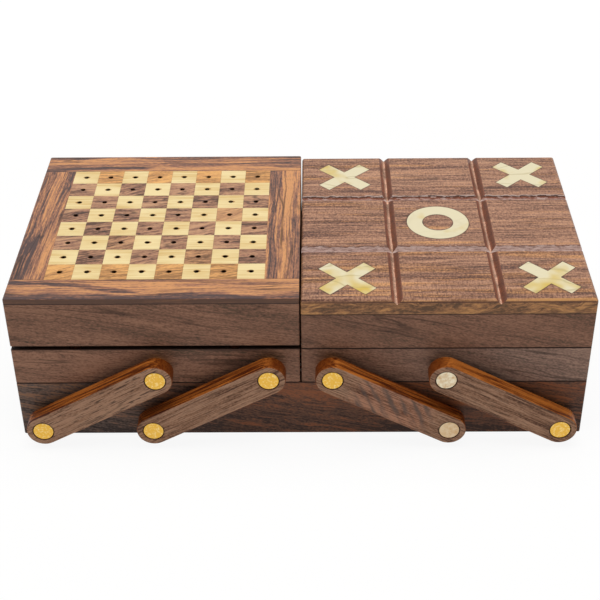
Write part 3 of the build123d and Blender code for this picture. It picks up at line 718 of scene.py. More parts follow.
def squares_finish(colours, shade, low, high):
    """Squares of sheesham or maple, each from its own piece of wood, in a field whose corners are given. They
    are a little glossier than the sides."""
    dark = shade == "dark"
    square = (high.x - low.x) / 8
    finish, tree, shader = new_finish(f"lacquered_{'sheesham' if dark else 'maple'}_squares")
    place = add(tree, "ShaderNodeTexCoord").outputs["Object"]
    counted = add(tree, "ShaderNodeVectorMath", (place, low * MM), operation="SUBTRACT")
    share = 1 / (square * MM)
    counted = add(tree, "ShaderNodeVectorMath", (counted, (share, share, 0)), operation="MULTIPLY")
    cell = add(tree, "ShaderNodeVectorMath", (counted,), operation="FLOOR")
    chance = add(tree, "ShaderNodeTexWhiteNoise", {"Vector": cell}, noise_dimensions="2D").outputs["Color"]
    grain = add(
        tree, "ShaderNodeVectorMath", (chance, (900, 900, 900), grain_space(tree)), operation="MULTIPLY_ADD"
    )
    spot = add(tree, "ShaderNodeVectorMath", (counted,), operation="FRACTION")
    spot = add(tree, "ShaderNodeSeparateXYZ", (spot,)).outputs
    if dark:
        row = add(tree, "ShaderNodeSeparateXYZ", (cell,)).outputs[1]
        chances = add(tree, "ShaderNodeSeparateXYZ", (chance,)).outputs
        wood, relief = dark_square_wood(tree, colours, grain, spot, row, chances)
        wood = drilled(tree, wood, colours.hole, spot, chance, square, reach=1.25, strength=0.6)
    else:
        tones = (colours.light_square, colours.light_grain)
        wood, relief = pale_wood(tree, grain, tones, run=26, width=0.9)
        wood = drilled(tree, wood, colours.scorch, spot, chance, square, reach=1.5, strength=0.85)
    # Inside the hole the wood is drawn dark: painted shade.
    wood = stained(tree, wood, colours.hole, position(tree)[2], high.z - 0.5, high.z - 0.1, 1.0, 0.0)
    lacquer(tree, shader, wood, relief, shine=0.3)
    return finish


class GAMESBOX_OT_chess_board(bpy.types.Operator):
    """Finish the chess board: the border strips and the light and dark squares."""

    bl_idname = "gamesbox.chess_board"
    bl_label = "Chess board"

    def execute(self, context):
        colours = context.scene.games_box_colours
        dark_low, dark_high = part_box("dark_squares")
        light_low, light_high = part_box("light_squares")
        low = Vector(map(min, dark_low, light_low)) / MM
        high = Vector(map(max, dark_high, light_high)) / MM
        paint("left_lid_border", border_finish(colours, low, high))
        for shade in ("dark", "light"):
            paint(f"{shade}_squares", squares_finish(colours, shade, low, high))
        return {"FINISHED"}


# The grooves' distances from the middle of their board, in X and in Y, and their width.
GROOVES = (22.2, 22.8, 5.0)
# A brass cross: the length and width of its bars.
CROSS = (28.3, 6.8)
# How the grooved top's wood differs, on its face and, where the grain swirls, at its sides.
TOP_LOOK = dict(
    PLAIN, figure=(80, 4.0), wander=6.0, fibre_size=(30, 1.0), fibre=1.3, veins=(60, 3.4), vein_width=0.04,
    vein_depth=0.5, spread=0.2, grit_size=(1.0, 0.9), grit=0.8, pores=0.15,
)
SWIRL_LOOK = dict(
    PLAIN, figure=(24, 5.0), bend=(18, 9), wander=11.0, fibre_size=(10, 0.9), fibre=0.8, veins=(18, 4),
    vein_width=0.06, vein_depth=0.5, spread=0.13, grit=0.35, pores=0.2,
)


def top_grain(tree):
    """The grain of the grooved top."""
    return grain_space(tree, "X", 0.0, (11, 52, 8))


def top_face(tree, colours, spot, front):
    """The grooved top's face, whose front edge lies there: streaked lengthways and rippled across."""
    # A dark band runs along the front edge, deepest in its right half.
    band = within(tree, spot[1], front + 1.0, front + 6.5, 1.5)
    reach = add(tree, "ShaderNodeMapRange", (spot[0], 30, 60, -0.05, -0.12))
    drift = add(tree, "ShaderNodeMath", (band, reach), operation="MULTIPLY")
    tones = (colours.top_dark, colours.top_brown, colours.top_light)
    wood, relief = sheesham(tree, top_grain(tree), tones, colours.vein, TOP_LOOK, drift)
    # Long golden streaks, most of them in the front row.
    gilt = streaks(tree, grain_space(tree, "X", 0.5, (70, 3, 40)), 60, 3.5, 3.0)
    nearer = add(tree, "ShaderNodeMapRange", (spot[1], -25, -15, 0.03, -0.05))
    gilt = add(tree, "ShaderNodeMath", (gilt, nearer), operation="ADD")
    golden = retoned(tree, wood, colours.top_brown, colours.top_gold)
    wood = stained(tree, wood, golden, gilt, 0.53, 0.62, most=0.7)
    # Ripple: fine marks across the grain, where the cutter met interlocked fibres, worst along the front.
    ripple = streaks(tree, grain_space(tree, "Y", 0.0, (5, 9, 2)), 3.5, 0.65, 2.0)
    worst = add(tree, "ShaderNodeMapRange", (spot[1], front + 4, front + 20, 0.6, 0.3))
    return stained(tree, wood, colours.top_dark, ripple, 0.5, 0.66, most=worst), relief


def top_rim(tree, wood, colours, spot, normal, upright):
    """The rounded front edge: a painted golden highlight, most at the right and in patches, with a painted
    shade line under it.
    """
    facing_share = add(tree, "ShaderNodeMapRange", (spot[0], 60, 95, 0.0, 0.95))
    forward = add(tree, "ShaderNodeMapRange", (normal[1], -0.25, -0.5))
    patchy = add(tree, "ShaderNodeMapRange", (streaks(tree, top_grain(tree), 9, 2, 3.0), 0.35, 0.6, 0.45))
    for share in (forward, upright, patchy):
        facing_share = add(tree, "ShaderNodeMath", (facing_share, share), operation="MULTIPLY")
    wood = stained(tree, wood, colours.swirl_light, facing_share)
    # Painted shade: a dark line on the lower part of the rounding, under the highlight.
    return stained(tree, wood, colours.top_dark, within(tree, normal[2], 0.04, 0.34, 0.04), most=0.9)


def across_grooves(tree, place, reach, waver, slope, cut):
    """Across two grooves that lie this far each side of the middle: how far over its groove a place lies,
    from 0 to 1, and how much of it is a flank, which slopes and is cut."""
    side = add(tree, "ShaderNodeMath", (place,), operation="SIGN")
    away = add(tree, "ShaderNodeMath", (place,), operation="ABSOLUTE")
    away = add(tree, "ShaderNodeMath", (away, reach), operation="SUBTRACT")
    across = add(tree, "ShaderNodeMath", (away, side, waver), operation="MULTIPLY_ADD")
    width = GROOVES[2]
    over = add(tree, "ShaderNodeMapRange", (across, -width / 2, width / 2))
    slope = add(tree, "ShaderNodeMath", (slope,), operation="ABSOLUTE")
    share = add(tree, "ShaderNodeMath", (within(tree, slope, 0.4, 0.9, 0.05), cut), operation="MULTIPLY")
    near = within(tree, away, -0.6 * width, 0.6 * width, 0.1)
    return over, add(tree, "ShaderNodeMath", (share, near), operation="MULTIPLY")


def grooves(tree, wood, colours, across_board, spot, normal):
    """The V grooves, with painted highlights and painted shade on their flanks. Those across the grain show
    end grain, and those along it show torn grain.
    """
    cut = within(tree, normal[2], 0.4, 0.88, 0.02)
    grain = top_grain(tree)
    torn = streaks(tree, grain, 3.0, 0.7, 3.0, 0.7)

    # Across the grain: end grain, with painted shade at the left rim and on the right-hand flank, and a
    # painted highlight along the bottom.
    waver = streaks(tree, grain_space(tree, "Y"), 12, 3)
    waver = add(tree, "ShaderNodeMath", (waver, 1.2, -0.6), operation="MULTIPLY_ADD")
    over, share = across_grooves(tree, across_board, GROOVES[0], waver, normal[0], cut)
    dark, red, lit = colours.groove_dark, colours.groove_red, colours.groove_bottom_highlight
    shade = add(tree, "ShaderNodeValToRGB", (over,), [
        (0.04, dark), (0.1, red), (0.22, red), (0.45, lit), (0.53, lit), (0.6, red), (0.7, dark), (0.9, dark),
        (0.97, red)])
    shade = stained(tree, shade, colours.top_dark, streaks(tree, grain, 7, 5, 3.0), 0.42, 0.66, most=0.5)
    shade = stained(tree, shade, colours.vein, torn, 0.46, 0.62, most=0.55)
    wood = stained(tree, wood, shade, share)

    # Along the grain: the far flank carries painted light and painted highlights. In the front groove it is
    # lit nearly to the rim; in the back one only its lower half is, and a painted shade line and a painted
    # highlight run along the rim.
    ragged = streaks(tree, grain, 5, 5, 3.0, 0.7)
    ragged = add(tree, "ShaderNodeMath", (ragged, 1.6, -0.8), operation="MULTIPLY_ADD")
    over, share = across_grooves(tree, spot[1], GROOVES[1], ragged, normal[1], cut)
    pale, white, dark, brown = colours.groove_lit_flank, colours.groove_highlight, colours.top_dark, colours.top_brown
    front = add(tree, "ShaderNodeValToRGB", (over,), [
        (0.4, red), (0.46, white), (0.6, white), (0.67, pale), (0.93, pale), (0.97, dark), (1.0, brown)])
    back = add(tree, "ShaderNodeValToRGB", (over,), [
        (0.4, red), (0.46, white), (0.56, white), (0.64, pale), (0.76, red), (0.86, dark),
        (0.9, colours.hole), (0.94, white), (1.0, brown)])
    behind = add(tree, "ShaderNodeMath", (spot[1], 0.0), operation="GREATER_THAN")
    shade = stained(tree, front, back, behind)
    shade = stained(tree, shade, dark, torn, 0.52, 0.6, most=0.55)
    # Painted glints of light in the torn grain.
    shade = stained(tree, shade, white, torn, 0.45, 0.38, most=0.7)
    return stained(tree, wood, shade, share)


def from_inlays(tree, across_board, depth, middle):
    """How far a place lies from the outline of the nearest inlay, in millimetres."""
    spot = millimetres(tree)
    nearest = None
    for low, high in solids("right_lid_brass_inlays"):
        centre = (low + high) / 2 / MM
        if abs(centre.x - middle) < 1:
            # The ring: its bore is half its width.
            reach = (high.x - low.x) / 2 / MM
            away = add(tree, "ShaderNodeCombineXYZ", (across_board, depth))
            away = add(tree, "ShaderNodeVectorMath", (away,), operation="LENGTH").outputs["Value"]
            outside = add(tree, "ShaderNodeMath", (away, reach), operation="SUBTRACT")
            inside = add(tree, "ShaderNodeMath", (reach / 2, away), operation="SUBTRACT")
            gaps = [add(tree, "ShaderNodeMath", (outside, inside), operation="MAXIMUM")]
        else:
            # A cross: two bars at 45 degrees.
            pivot = (centre.x, centre.y, 0)
            away = add(
                tree, "ShaderNodeVectorRotate",
                {"Vector": spot, "Center": pivot, "Axis": (0, 0, 1), "Angle": math.pi / 4},
                rotation_type="AXIS_ANGLE",
            )
            away = add(tree, "ShaderNodeVectorMath", (away, pivot), operation="SUBTRACT")
            away = add(tree, "ShaderNodeVectorMath", (away,), operation="ABSOLUTE")
            away = add(tree, "ShaderNodeSeparateXYZ", (away,)).outputs
            gaps = []
            for along, over in ((0, 1), (1, 0)):
                past = add(tree, "ShaderNodeMath", (away[along], CROSS[0] / 2), operation="SUBTRACT")
                beside = add(tree, "ShaderNodeMath", (away[over], CROSS[1] / 2), operation="SUBTRACT")
                gaps.append(add(tree, "ShaderNodeMath", (past, beside), operation="MAXIMUM"))
        for gap in gaps:
            nearest = add(tree, "ShaderNodeMath", (nearest, gap), operation="MINIMUM") if nearest else gap
    return nearest


def grooved_top_finish(colours):
    """A sheesham plank, machined with grooves, sanded and lacquered: reddish brown, streaked and rippled."""
    finish, tree, shader = new_finish("lacquered_sheesham_grooved_top")
    low, high = (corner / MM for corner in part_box("right_lid_top_board"))
    middle = (low.x + high.x) / 2
    spot, normal = position(tree), facing(tree)
    across_board = add(tree, "ShaderNodeMath", (spot[0], middle), operation="SUBTRACT")
    upright = add(tree, "ShaderNodeMapRange", (normal[2], 0.3, 0.5))
    wood, relief = top_face(tree, colours, spot, low.y)
    # The sides of the board, cut from the same plank where its grain swirls.
    tones = (colours.swirl_dark, colours.swirl_brown, colours.swirl_light)
    side = sheesham(tree, grain_space(tree, "X", 4.0, (3, 7, 1)), tones, colours.vein, SWIRL_LOOK)[0]
    side = dark_edges(tree, side, (low.z,), colours.vein, 0.25)
    wood = stained(tree, side, wood, upright)
    wood = top_rim(tree, wood, colours, spot, normal, upright)
    wood = grooves(tree, wood, colours, across_board, spot, normal)
    # A thin dark line of glue round each inlay.
    gap = from_inlays(tree, across_board, spot[1], middle)
    glue = add(tree, "ShaderNodeMapRange", (gap, 0.2, 0.6, 0.65, 0.0))
    glue = add(tree, "ShaderNodeMath", (glue, upright), operation="MULTIPLY")
    wood = stained(tree, wood, colours.vein, glue)
    lacquer(tree, shader, wood, relief, shine=0.3)
    return finish


def inlay_finish(colours):
    """Sheet brass, rubbed flush with the wood: a soft mirror, pale with golden patches and painted olive
    reflections.
    """
    finish, tree, shader = new_finish("rubbed_sheet_brass")
    # The front crosses are the more golden ones, most so at their front ends: painted reflection over the
    # brass's own golden patches. The ring, which lies within 16 mm of the middle, is plain and pale, with
    # fewer painted reflections along its dips.
    forward = graded(tree, 1, -30, -60, 0.0, 0.14)
    plain = within(tree, position(tree)[1], -16, 16, 2)
    gilding = add(tree, "ShaderNodeMath", (plain, -0.12, forward), operation="MULTIPLY_ADD")
    dips = add(tree, "ShaderNodeMapRange", (plain, 0.0, 1.0, 0.5, 0.1))
    brass(tree, shader, (colours.brass, colours.brass_gold, colours.brass_dark_reflection), more=gilding, dips=dips)
    return finish


class GAMESBOX_OT_grooved_board(bpy.types.Operator):
    """Finish the noughts and crosses board: the grooved top and its brass inlays."""

    bl_idname = "gamesbox.grooved_board"
    bl_label = "Noughts and crosses board"

    def execute(self, context):
        colours = context.scene.games_box_colours
        paint("right_lid_top_board", grooved_top_finish(colours))
        paint("right_lid_brass_inlays", inlay_finish(colours))
        return {"FINISHED"}


# How much paler than the others' an arm's wood is, on its faces and on its edges.
ARM_TONES = {
    "left_front_outer_arm": (0.16, 0.0), "left_front_inner_arm": (0.02, 0.0),
    "right_front_inner_arm": (0.1, 0.0), "right_front_outer_arm": (0.02, 0.12),
}
# How the arms' wood differs, on their faces and on their edges.
ARM_LOOK = dict(
    PLAIN, figure=(50, 3), wander=2.0, fibre_size=(20, 0.6), fibre=1.4, veins=(60, 3), vein_width=0.03,
    vein_depth=0.45, spread=0.16, grit=0.5, pore_size=(6.0, 0.5), pores=0.4,
)
ARM_EDGE_LOOK = dict(
    ARM_LOOK, figure=(40, 1.6), fibre_size=(26, 0.7), grit=0.2, pores=0.2, spread=0.11,
)
# How far the grain of a left arm leans, along the arm. A right arm's leans the other way.
ARM_LEAN = 28.5
# Pins are longer than this, and the washers on them are thinner.
LEAST_PIN = 10 * MM
# All of a pin lies this near its middle, and no other pin does.
PIN_REACH = 16 * MM


def curled(tree, face, colours, middle, way):
    """An arm's face that was cut across a curl: soft grey bands cross the middle of it steeply."""
    across = grain_space(tree, "X", -66, (5, 8, 21))
    ripple = add(
        tree, "ShaderNodeTexWave",
        {"Vector": across, "Scale": 0.072, "Distortion": 3.0, "Detail": 2.0, "Detail Scale": 1.6},
        bands_direction="Z",
    ).outputs["Fac"]
    curl = add(tree, "ShaderNodeMapRange", (ripple, 0.2, 1.0, 0.0, 0.76))
    broken = add(tree, "ShaderNodeMapRange", (streaks(tree, across, 9, 2.6, 1.0), 0.34, 0.54))
    curl = add(tree, "ShaderNodeMath", (curl, broken), operation="MULTIPLY")
    along = add(tree, "ShaderNodeVectorMath", (millimetres(tree), middle), operation="SUBTRACT")
    along = add(tree, "ShaderNodeVectorMath", (along, way), operation="DOT_PRODUCT").outputs["Value"]
    along = add(tree, "ShaderNodeMath", (along,), operation="ABSOLUTE")
    along = add(tree, "ShaderNodeMapRange", (along, 14, 22, 1.0, 0.0))
    curl = add(tree, "ShaderNodeMath", (curl, along), operation="MULTIPLY")
    face = stained(tree, face, retoned(tree, face, colours.arm_brown, colours.arm_red), along)
    return stained(tree, face, colours.arm_curl, curl)


def arm_finish(node, number, colours, pins):
    """Sawn from sheesham: an arm's faces are sanded and dull, and its edges are deep in orange lacquer."""
    finish, tree, shader = new_finish(f"lacquered_sheesham_{node}")
    low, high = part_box(node)
    lean = ARM_LEAN if node.startswith("left") else -ARM_LEAN
    way = (math.cos(math.radians(lean)), 0, math.sin(math.radians(lean)))
    grain = grain_space(tree, "X", lean, (61.0 * number, 17.0 * number, 29.0 * number))
    tones = (colours.arm_dark, colours.arm_brown, colours.arm_light)
    look = dict(ARM_LOOK, pores=0.8) if node == "left_front_outer_arm" else ARM_LOOK
    paler, edge_paler = ARM_TONES.get(node, (0.0, 0.0))
    face, relief = sheesham(tree, grain, tones, colours.vein, look, paler)
    if node == "right_front_inner_arm":
        face = curled(tree, face, colours, (low + high) / 2 / MM, way)
    tones = (colours.edge_dark, colours.edge_brown, colours.edge_light)
    edge = sheesham(tree, grain, tones, colours.edge_dark, ARM_EDGE_LOOK, edge_paler)[0]
    # End grain, at the arm's rounded ends, drank in more of the stain; the darker tone there is also painted
    # shade.
    normal = add(tree, "ShaderNodeTexCoord").outputs["Normal"]
    end_on = add(tree, "ShaderNodeVectorMath", (normal, way), operation="DOT_PRODUCT").outputs["Value"]
    end_on = add(tree, "ShaderNodeMath", (end_on,), operation="ABSOLUTE")
    edge = stained(tree, edge, colours.edge_end, end_on, 0.25, 0.75, most=0.8)
    flat = add(tree, "ShaderNodeMath", (facing(tree)[1],), operation="ABSOLUTE")
    wood = stained(tree, edge, face, flat, 0.75, 0.97)
    # A dark line of filler round each pin head.
    for pin in pins:
        if low.x < pin.x < high.x and low.z < pin.z < high.z and low.y * pin.y > 0:
            centre = (pin.x / MM, 0, pin.z / MM)
            away = add(tree, "ShaderNodeVectorMath", (millimetres(tree), centre), operation="SUBTRACT")
            away = add(tree, "ShaderNodeVectorMath", (away, (1, 0, 1)), operation="MULTIPLY")
            away = add(tree, "ShaderNodeVectorMath", (away,), operation="LENGTH").outputs["Value"]
            wood = stained(tree, wood, colours.hole, away, 4.7, 5.2, 0.7, 0.0)
    lacquer(tree, shader, wood, relief, roughness=0.46, depth=0.12)
    return finish


def pin_finish(colours, pins):
    """Turned brass, worn where it is rubbed: a soft golden mirror with bright specks. Two heads, the lower of
    the right inner arm and the upper of the right outer one, are drawn pale: a painted reflection of the
    white surround."""
    finish, tree, shader = new_finish("brass_pin_heads")
    tones = (colours.pin, colours.pin_worn)
    gold = brass(tree, shader, tones, patch=0.9, wave=4.0, wave_depth=0.1, roughness=0.34)
    place = add(tree, "ShaderNodeTexCoord").outputs["Object"]
    speck = streaks(tree, grain_space(tree), 2.2, 2.2, 4.0, 0.7)
    lowest, highest = min(pin.z for pin in pins), max(pin.z for pin in pins)
    for pin in pins:
        lower_inner = abs(pin.z - lowest) < MM and 0 < pin.x < 80 * MM
        upper_outer = abs(pin.z - highest) < MM and pin.x > 40 * MM
        if pin.y < 0 and (lower_inner or upper_outer):
            away = add(tree, "ShaderNodeVectorMath", (place, pin), operation="DISTANCE").outputs["Value"]
            here = add(tree, "ShaderNodeMath", (away, PIN_REACH), operation="LESS_THAN")
            # Painted reflection: how pale each of these heads is drawn.
            rubbed = 0.45 if lower_inner else 1.0
            pale = stained(tree, colours.pin_tan, colours.pin_pale_reflection, speck, 0.3, 0.6, most=rubbed)
            gold = stained(tree, gold, pale, here, most=0.97)
    fill(shader, {"Base Color": gold})
    return finish


class GAMESBOX_OT_arms(bpy.types.Operator):
    """Finish the eight swing arms and the heads of their pins."""

    bl_idname = "gamesbox.arms"
    bl_label = "Arms and pins"

    def execute(self, context):
        colours = context.scene.games_box_colours
        pivots = ("base_pivots", "left_tray_pivots", "right_tray_pivots")
        boxes = [box for node in pivots for box in solids(node)]
        pins = [(low + high) / 2 for low, high in boxes if high.y - low.y > LEAST_PIN]
        for number, node in enumerate(sorted(node for node in NODES if node.endswith("_arm"))):
            paint(node, arm_finish(node, number, colours, pins))
        finish = pin_finish(colours, pins)
        for node in pivots:
            paint(node, finish)
        return {"FINISHED"}


class GAMESBOX_OT_hinges(bpy.types.Operator):
    """Finish the hinges, their pins and screws, and the pads under the left lid."""

    bl_idname = "gamesbox.hinges"
    bl_label = "Hinges and pads"

    def execute(self, context):
        colours = context.scene.games_box_colours
        # Stamped hinge brass, gone dull: brown in the hollows, brighter where it is rubbed.
        finish, tree, shader = new_finish("tarnished_hinge_brass")
        tones = (colours.old_brass, colours.brass_gold)
        brass(tree, shader, tones, patch=5.0, wave=4.0, wave_depth=0.05, roughness=0.38)
        for node in NODES:
            if node.endswith(("_hinge_leaves", "_hinge_screws", "_hinge_pins")):
                paint(node, finish)

        # Agglomerated cork: soft grains with darker gaps between them. It is drawn nearly black, as painted
        # shade for the dark gap under the left lid.
        finish, tree, shader = new_finish("cork_in_painted_shade")
        grains = add(tree, "ShaderNodeTexVoronoi", {"Vector": grain_space(tree), "Scale": 0.9}, feature="F1")
        tint = stained(tree, colours.cork, colours.hole, grains)
        bump = add(tree, "ShaderNodeBump", {"Strength": 0.5, "Distance": 0.1 * MM, "Height": grains})
        fill(shader, {"Base Color": tint, "Normal": bump, "Roughness": 0.9, "Specular IOR Level": 0.0})
        paint("left_lid_pads", finish)
        return {"FINISHED"}


# ---- Operators: the games ----

# Where the pips of each number lie, in steps from the middle.
PIPS = {
    0: (),
    1: ((0, 0),),
    2: ((-1, -1), (1, 1)),
    3: ((-1, -1), (0, 0), (1, 1)),
    4: ((-1, -1), (-1, 1), (1, -1), (1, 1)),
    5: ((-1, -1), (-1, 1), (0, 0), (1, -1), (1, 1)),
    6: ((-1, -1), (-1, 0), (-1, 1), (1, -1), (1, 0), (1, 1)),
}


def dye(name, shade):
    """Pips filled with hard wax: even and slightly glossy, with a faint mottle."""
    finish, tree, shader = new_finish(name)
    mottle = streaks(tree, grain_space(tree), 0.8, 0.8)
    bright = add(tree, "ShaderNodeMapRange", (mottle, 0.0, 1.0, 0.85, 1.15))
    tint = add(tree, "ShaderNodeHueSaturation", {"Color": shade, "Value": bright})
    fill(shader, {"Base Color": tint, "Roughness": 0.4})
    return finish


def lens(name, radius, rise):
    """A pip: a shallow dome above its surface, and as much below it."""
    profile = [(0, -rise), (0.7 * radius, -0.6 * rise), (radius, 0), (0.7 * radius, 0.6 * rise), (0, rise)]
    return bpy.data.objects.new(name, turned(name, profile, sides=14))


def repeated(name, part, spots, ways, tree, finish, roll=0.0, seed=1):
    """The piece that a part makes when it is repeated at every spot, facing its way. The part is used up."""
    values = {"Part": part, "Roll": roll, "Seed": seed, "Finish": finish}
    piece = grow(name, place_mesh(name, spots, ways), tree, values)
    bpy.data.objects.remove(part)
    return piece


class GAMESBOX_OT_dominoes(bpy.types.Operator):
    """Finish the dominoes, and set their pips and middle lines."""

    bl_idname = "gamesbox.dominoes"
    bl_label = "Dominoes"

    def execute(self, context):
        colours, sizes = context.scene.games_box_colours, context.scene.games_box_sizes
        # Close-grained hardwood, dyed nearly black and waxed: dark and even, with a soft shine.
        finish, tree, shader = new_finish("ebonised_hardwood_tiles")
        wood, relief = pale_wood(tree, grain_space(tree), (colours.tile, colours.vein), run=18, width=0.8)
        lacquer(tree, shader, wood, relief, roughness=0.36, depth=0.05)
        paint("dominoes", finish)

        pairs = [(first, second) for first in range(7) for second in range(first, 7)]
        # Deal the set over the tiles, so that the layer on top shows different ones.
        pairs = [pairs[(11 * number) % len(pairs)] for number in range(len(pairs))]
        spots, middles = [], []
        for (low, high), pair in zip(solids("dominoes"), pairs):
            centre = (low + high) / 2
            middles.append((centre.x, centre.y, high.z))
            for side, count in zip((-1, 1), pair):
                for along, over in PIPS[count]:
                    x = centre.x + side * (high.x - low.x) / 4 + over * sizes.pip_pitch
                    spots.append((x, centre.y + along * sizes.pip_pitch, high.z))
        wax = dye("white_wax_pips", colours.pip)
        pip = lens("pip", sizes.pip_radius, sizes.pip_rise)
        shape = bmesh.new()
        wide, long, rise = 0.45 * MM, 7.2 * MM, sizes.pip_rise
        outline = [
            (-wide, -long), (0, -long - wide), (wide, -long), (wide, long), (0, long + wide), (-wide, long),
        ]
        raise_outline(shape, [(x, y, -rise) for x, y in outline], (0, 0, 2 * rise))
        line = bpy.data.objects.new("middle_line", finished_mesh("middle_line", shape))
        tree = repeat_tree("repeat_on_tiles")
        for name, part, places in (("domino_pips", pip, spots), ("domino_lines", line, middles)):
            piece = repeated(name, part, places, [(0, 0, 1)] * len(places), tree, wax)
            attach(piece, "base")
        return {"FINISHED"}


# Which way each number of a die faces.
DIE_FACES = (
    (1, (0, 0, 1)), (6, (0, 0, -1)), (2, (1, 0, 0)), (5, (-1, 0, 0)), (3, (0, 1, 0)), (4, (0, -1, 0)),
)


class GAMESBOX_OT_dice(bpy.types.Operator):
    """Finish the dice and set their pips."""

    bl_idname = "gamesbox.dice"
    bl_label = "Dice"

    def execute(self, context):
        colours, sizes = context.scene.games_box_colours, context.scene.games_box_sizes
        # Maple worn smooth in a tumbler: pale and even, with a soft gloss.
        finish, tree, shader = new_finish("tumbled_maple_dice")
        tones = (colours.die, colours.light_grain)
        wood, relief = pale_wood(tree, grain_space(tree), tones, run=12, width=0.7)
        lacquer(tree, shader, wood, relief, roughness=0.4, depth=0.04)
        paint("dice", finish)

        spots, ways = [], []
        for number, (low, high) in enumerate(sorted(solids("dice"), key=lambda box: box[0].y)):
            centre = (low + high) / 2
            half = (high.z - low.z) / 2
            # The dice were laid down by hand: each is turned a little, and shows another number.
            spin = Matrix.Rotation(math.radians(17 * number * (-1) ** number), 3, "Z")
            turn = spin @ Matrix.Rotation(math.pi / 2 * (number % 4), 3, ("X", "Y")[number % 2])
            for count, normal in DIE_FACES:
                normal = Vector(normal)
                first = Vector((normal.y, normal.z, normal.x))
                second = normal.cross(first)
                for u, v in PIPS[count]:
                    point = normal * half + (first * u + second * v) * sizes.die_pip_pitch
                    spots.append(centre + turn @ point)
                    ways.append(turn @ normal)
        ink = dye("black_wax_pips", colours.vein)
        pip = lens("die_pip", sizes.die_pip_radius, sizes.pip_rise)
        piece = repeated("die_pips", pip, spots, ways, repeat_tree("repeat_on_dice"), ink)
        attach(piece, "base")
        return {"FINISHED"}


# The radius of a card's corners.
CARD_CORNER = 3.0 * MM


def card_object(wide, deep, thick):
    """One card with rounded corners, that wide and deep from its middle, and a chart for its print."""
    outline = []
    for side, end, first in ((1, 1, 0), (-1, 1, 90), (-1, -1, 180), (1, -1, 270)):
        for step in range(5):
            turn = math.radians(first + 22.5 * step)
            x = side * (wide - CARD_CORNER) + CARD_CORNER * math.cos(turn)
            y = end * (deep - CARD_CORNER) + CARD_CORNER * math.sin(turn)
            outline.append((x, y, 0))
    shape = bmesh.new()
    raise_outline(shape, outline, (0, 0, thick))
    chart = shape.loops.layers.uv.new("UVMap")
    for face in shape.faces:
        for loop in face.loops:
            loop[chart].uv = (loop.vert.co.x / wide, loop.vert.co.y / deep)
    return bpy.data.objects.new("card", finished_mesh("card", shape))


def card_finish(colours):
    """Coated card: white, smooth and slightly glossy, with a printed lattice inside a white margin."""
    finish, tree, shader = new_finish("printed_card")
    chart = add(tree, "ShaderNodeUVMap", uv_map="UVMap")
    spot = add(tree, "ShaderNodeSeparateXYZ", (chart,)).outputs
    printed = add(tree, "ShaderNodeMath", (facing(tree)[2], 0.5), operation="GREATER_THAN")
    sideways = add(tree, "ShaderNodeMath", (spot[0], 8.0), operation="MULTIPLY")
    for slope in (11.2, -11.2):
        ruled = add(tree, "ShaderNodeMath", (spot[1], slope, sideways), operation="MULTIPLY_ADD")
        ruled = add(tree, "ShaderNodeMath", (ruled, 1.0), operation="PINGPONG")
        ruled = add(tree, "ShaderNodeMath", (ruled, 0.3), operation="GREATER_THAN")
        printed = add(tree, "ShaderNodeMath", (printed, ruled), operation="MULTIPLY")
    for inside in (within(tree, spot[0], -0.88, 0.88, 0.005), within(tree, spot[1], -0.91, 0.91, 0.004)):
        printed = add(tree, "ShaderNodeMath", (printed, inside), operation="MULTIPLY")
    tint = stained(tree, colours.card, colours.card_back, printed)
    weave = streaks(tree, grain_space(tree), 0.6, 0.6, 1.0)
    bump = add(tree, "ShaderNodeBump", {"Strength": 0.1, "Distance": 0.02 * MM, "Height": weave})
    fill(shader, {"Base Color": tint, "Normal": bump, "Roughness": 0.45})
    return finish


def pack_tree():
    """Stacks cards on the vertex that comes in, each slid a little by chance."""
    tree, start = new_tree("pack_of_cards", {
        "Card": "Object", "Count": "Int", "Pitch": "Float", "Shift": "Float", "Seed": "Int",
        "Finish": "Material",
    })
    rise = add(tree, "ShaderNodeCombineXYZ", {"Z": start["Pitch"]})
    stack = add(tree, "GeometryNodeMeshLine", {"Count": start["Count"], "Offset": rise}, mode="OFFSET")
    back = add(tree, "ShaderNodeMath", (start["Shift"], -1.0), operation="MULTIPLY")
    least = add(tree, "ShaderNodeCombineXYZ", (back, back))
    most = add(tree, "ShaderNodeCombineXYZ", (start["Shift"], start["Shift"]))
    slide = add(
        tree, "FunctionNodeRandomValue", {0: least, 1: most, "Seed": start["Seed"]}, data_type="FLOAT_VECTOR"
    )
    moved = add(tree, "GeometryNodeSetPosition", {"Geometry": stack, "Offset": slide})
    part = add(tree, "GeometryNodeObjectInfo", {"Object": start["Card"]}).outputs["Geometry"]
    copies = add(tree, "GeometryNodeInstanceOnPoints", {"Points": moved, "Instance": part})
    # The line starts at the origin, and the vertex that comes in says where the pack lies.
    place = add(tree, "GeometryNodeInputPosition")
    origin = add(
        tree, "GeometryNodeSampleIndex", {"Geometry": start["Places"], "Value": place},
        data_type="FLOAT_VECTOR",
    )
    copies = add(
        tree, "GeometryNodeTranslateInstances",
        {"Instances": copies, "Translation": origin, "Local Space": False},
    )
    close_tree(tree, copies, start["Finish"])
    return tree


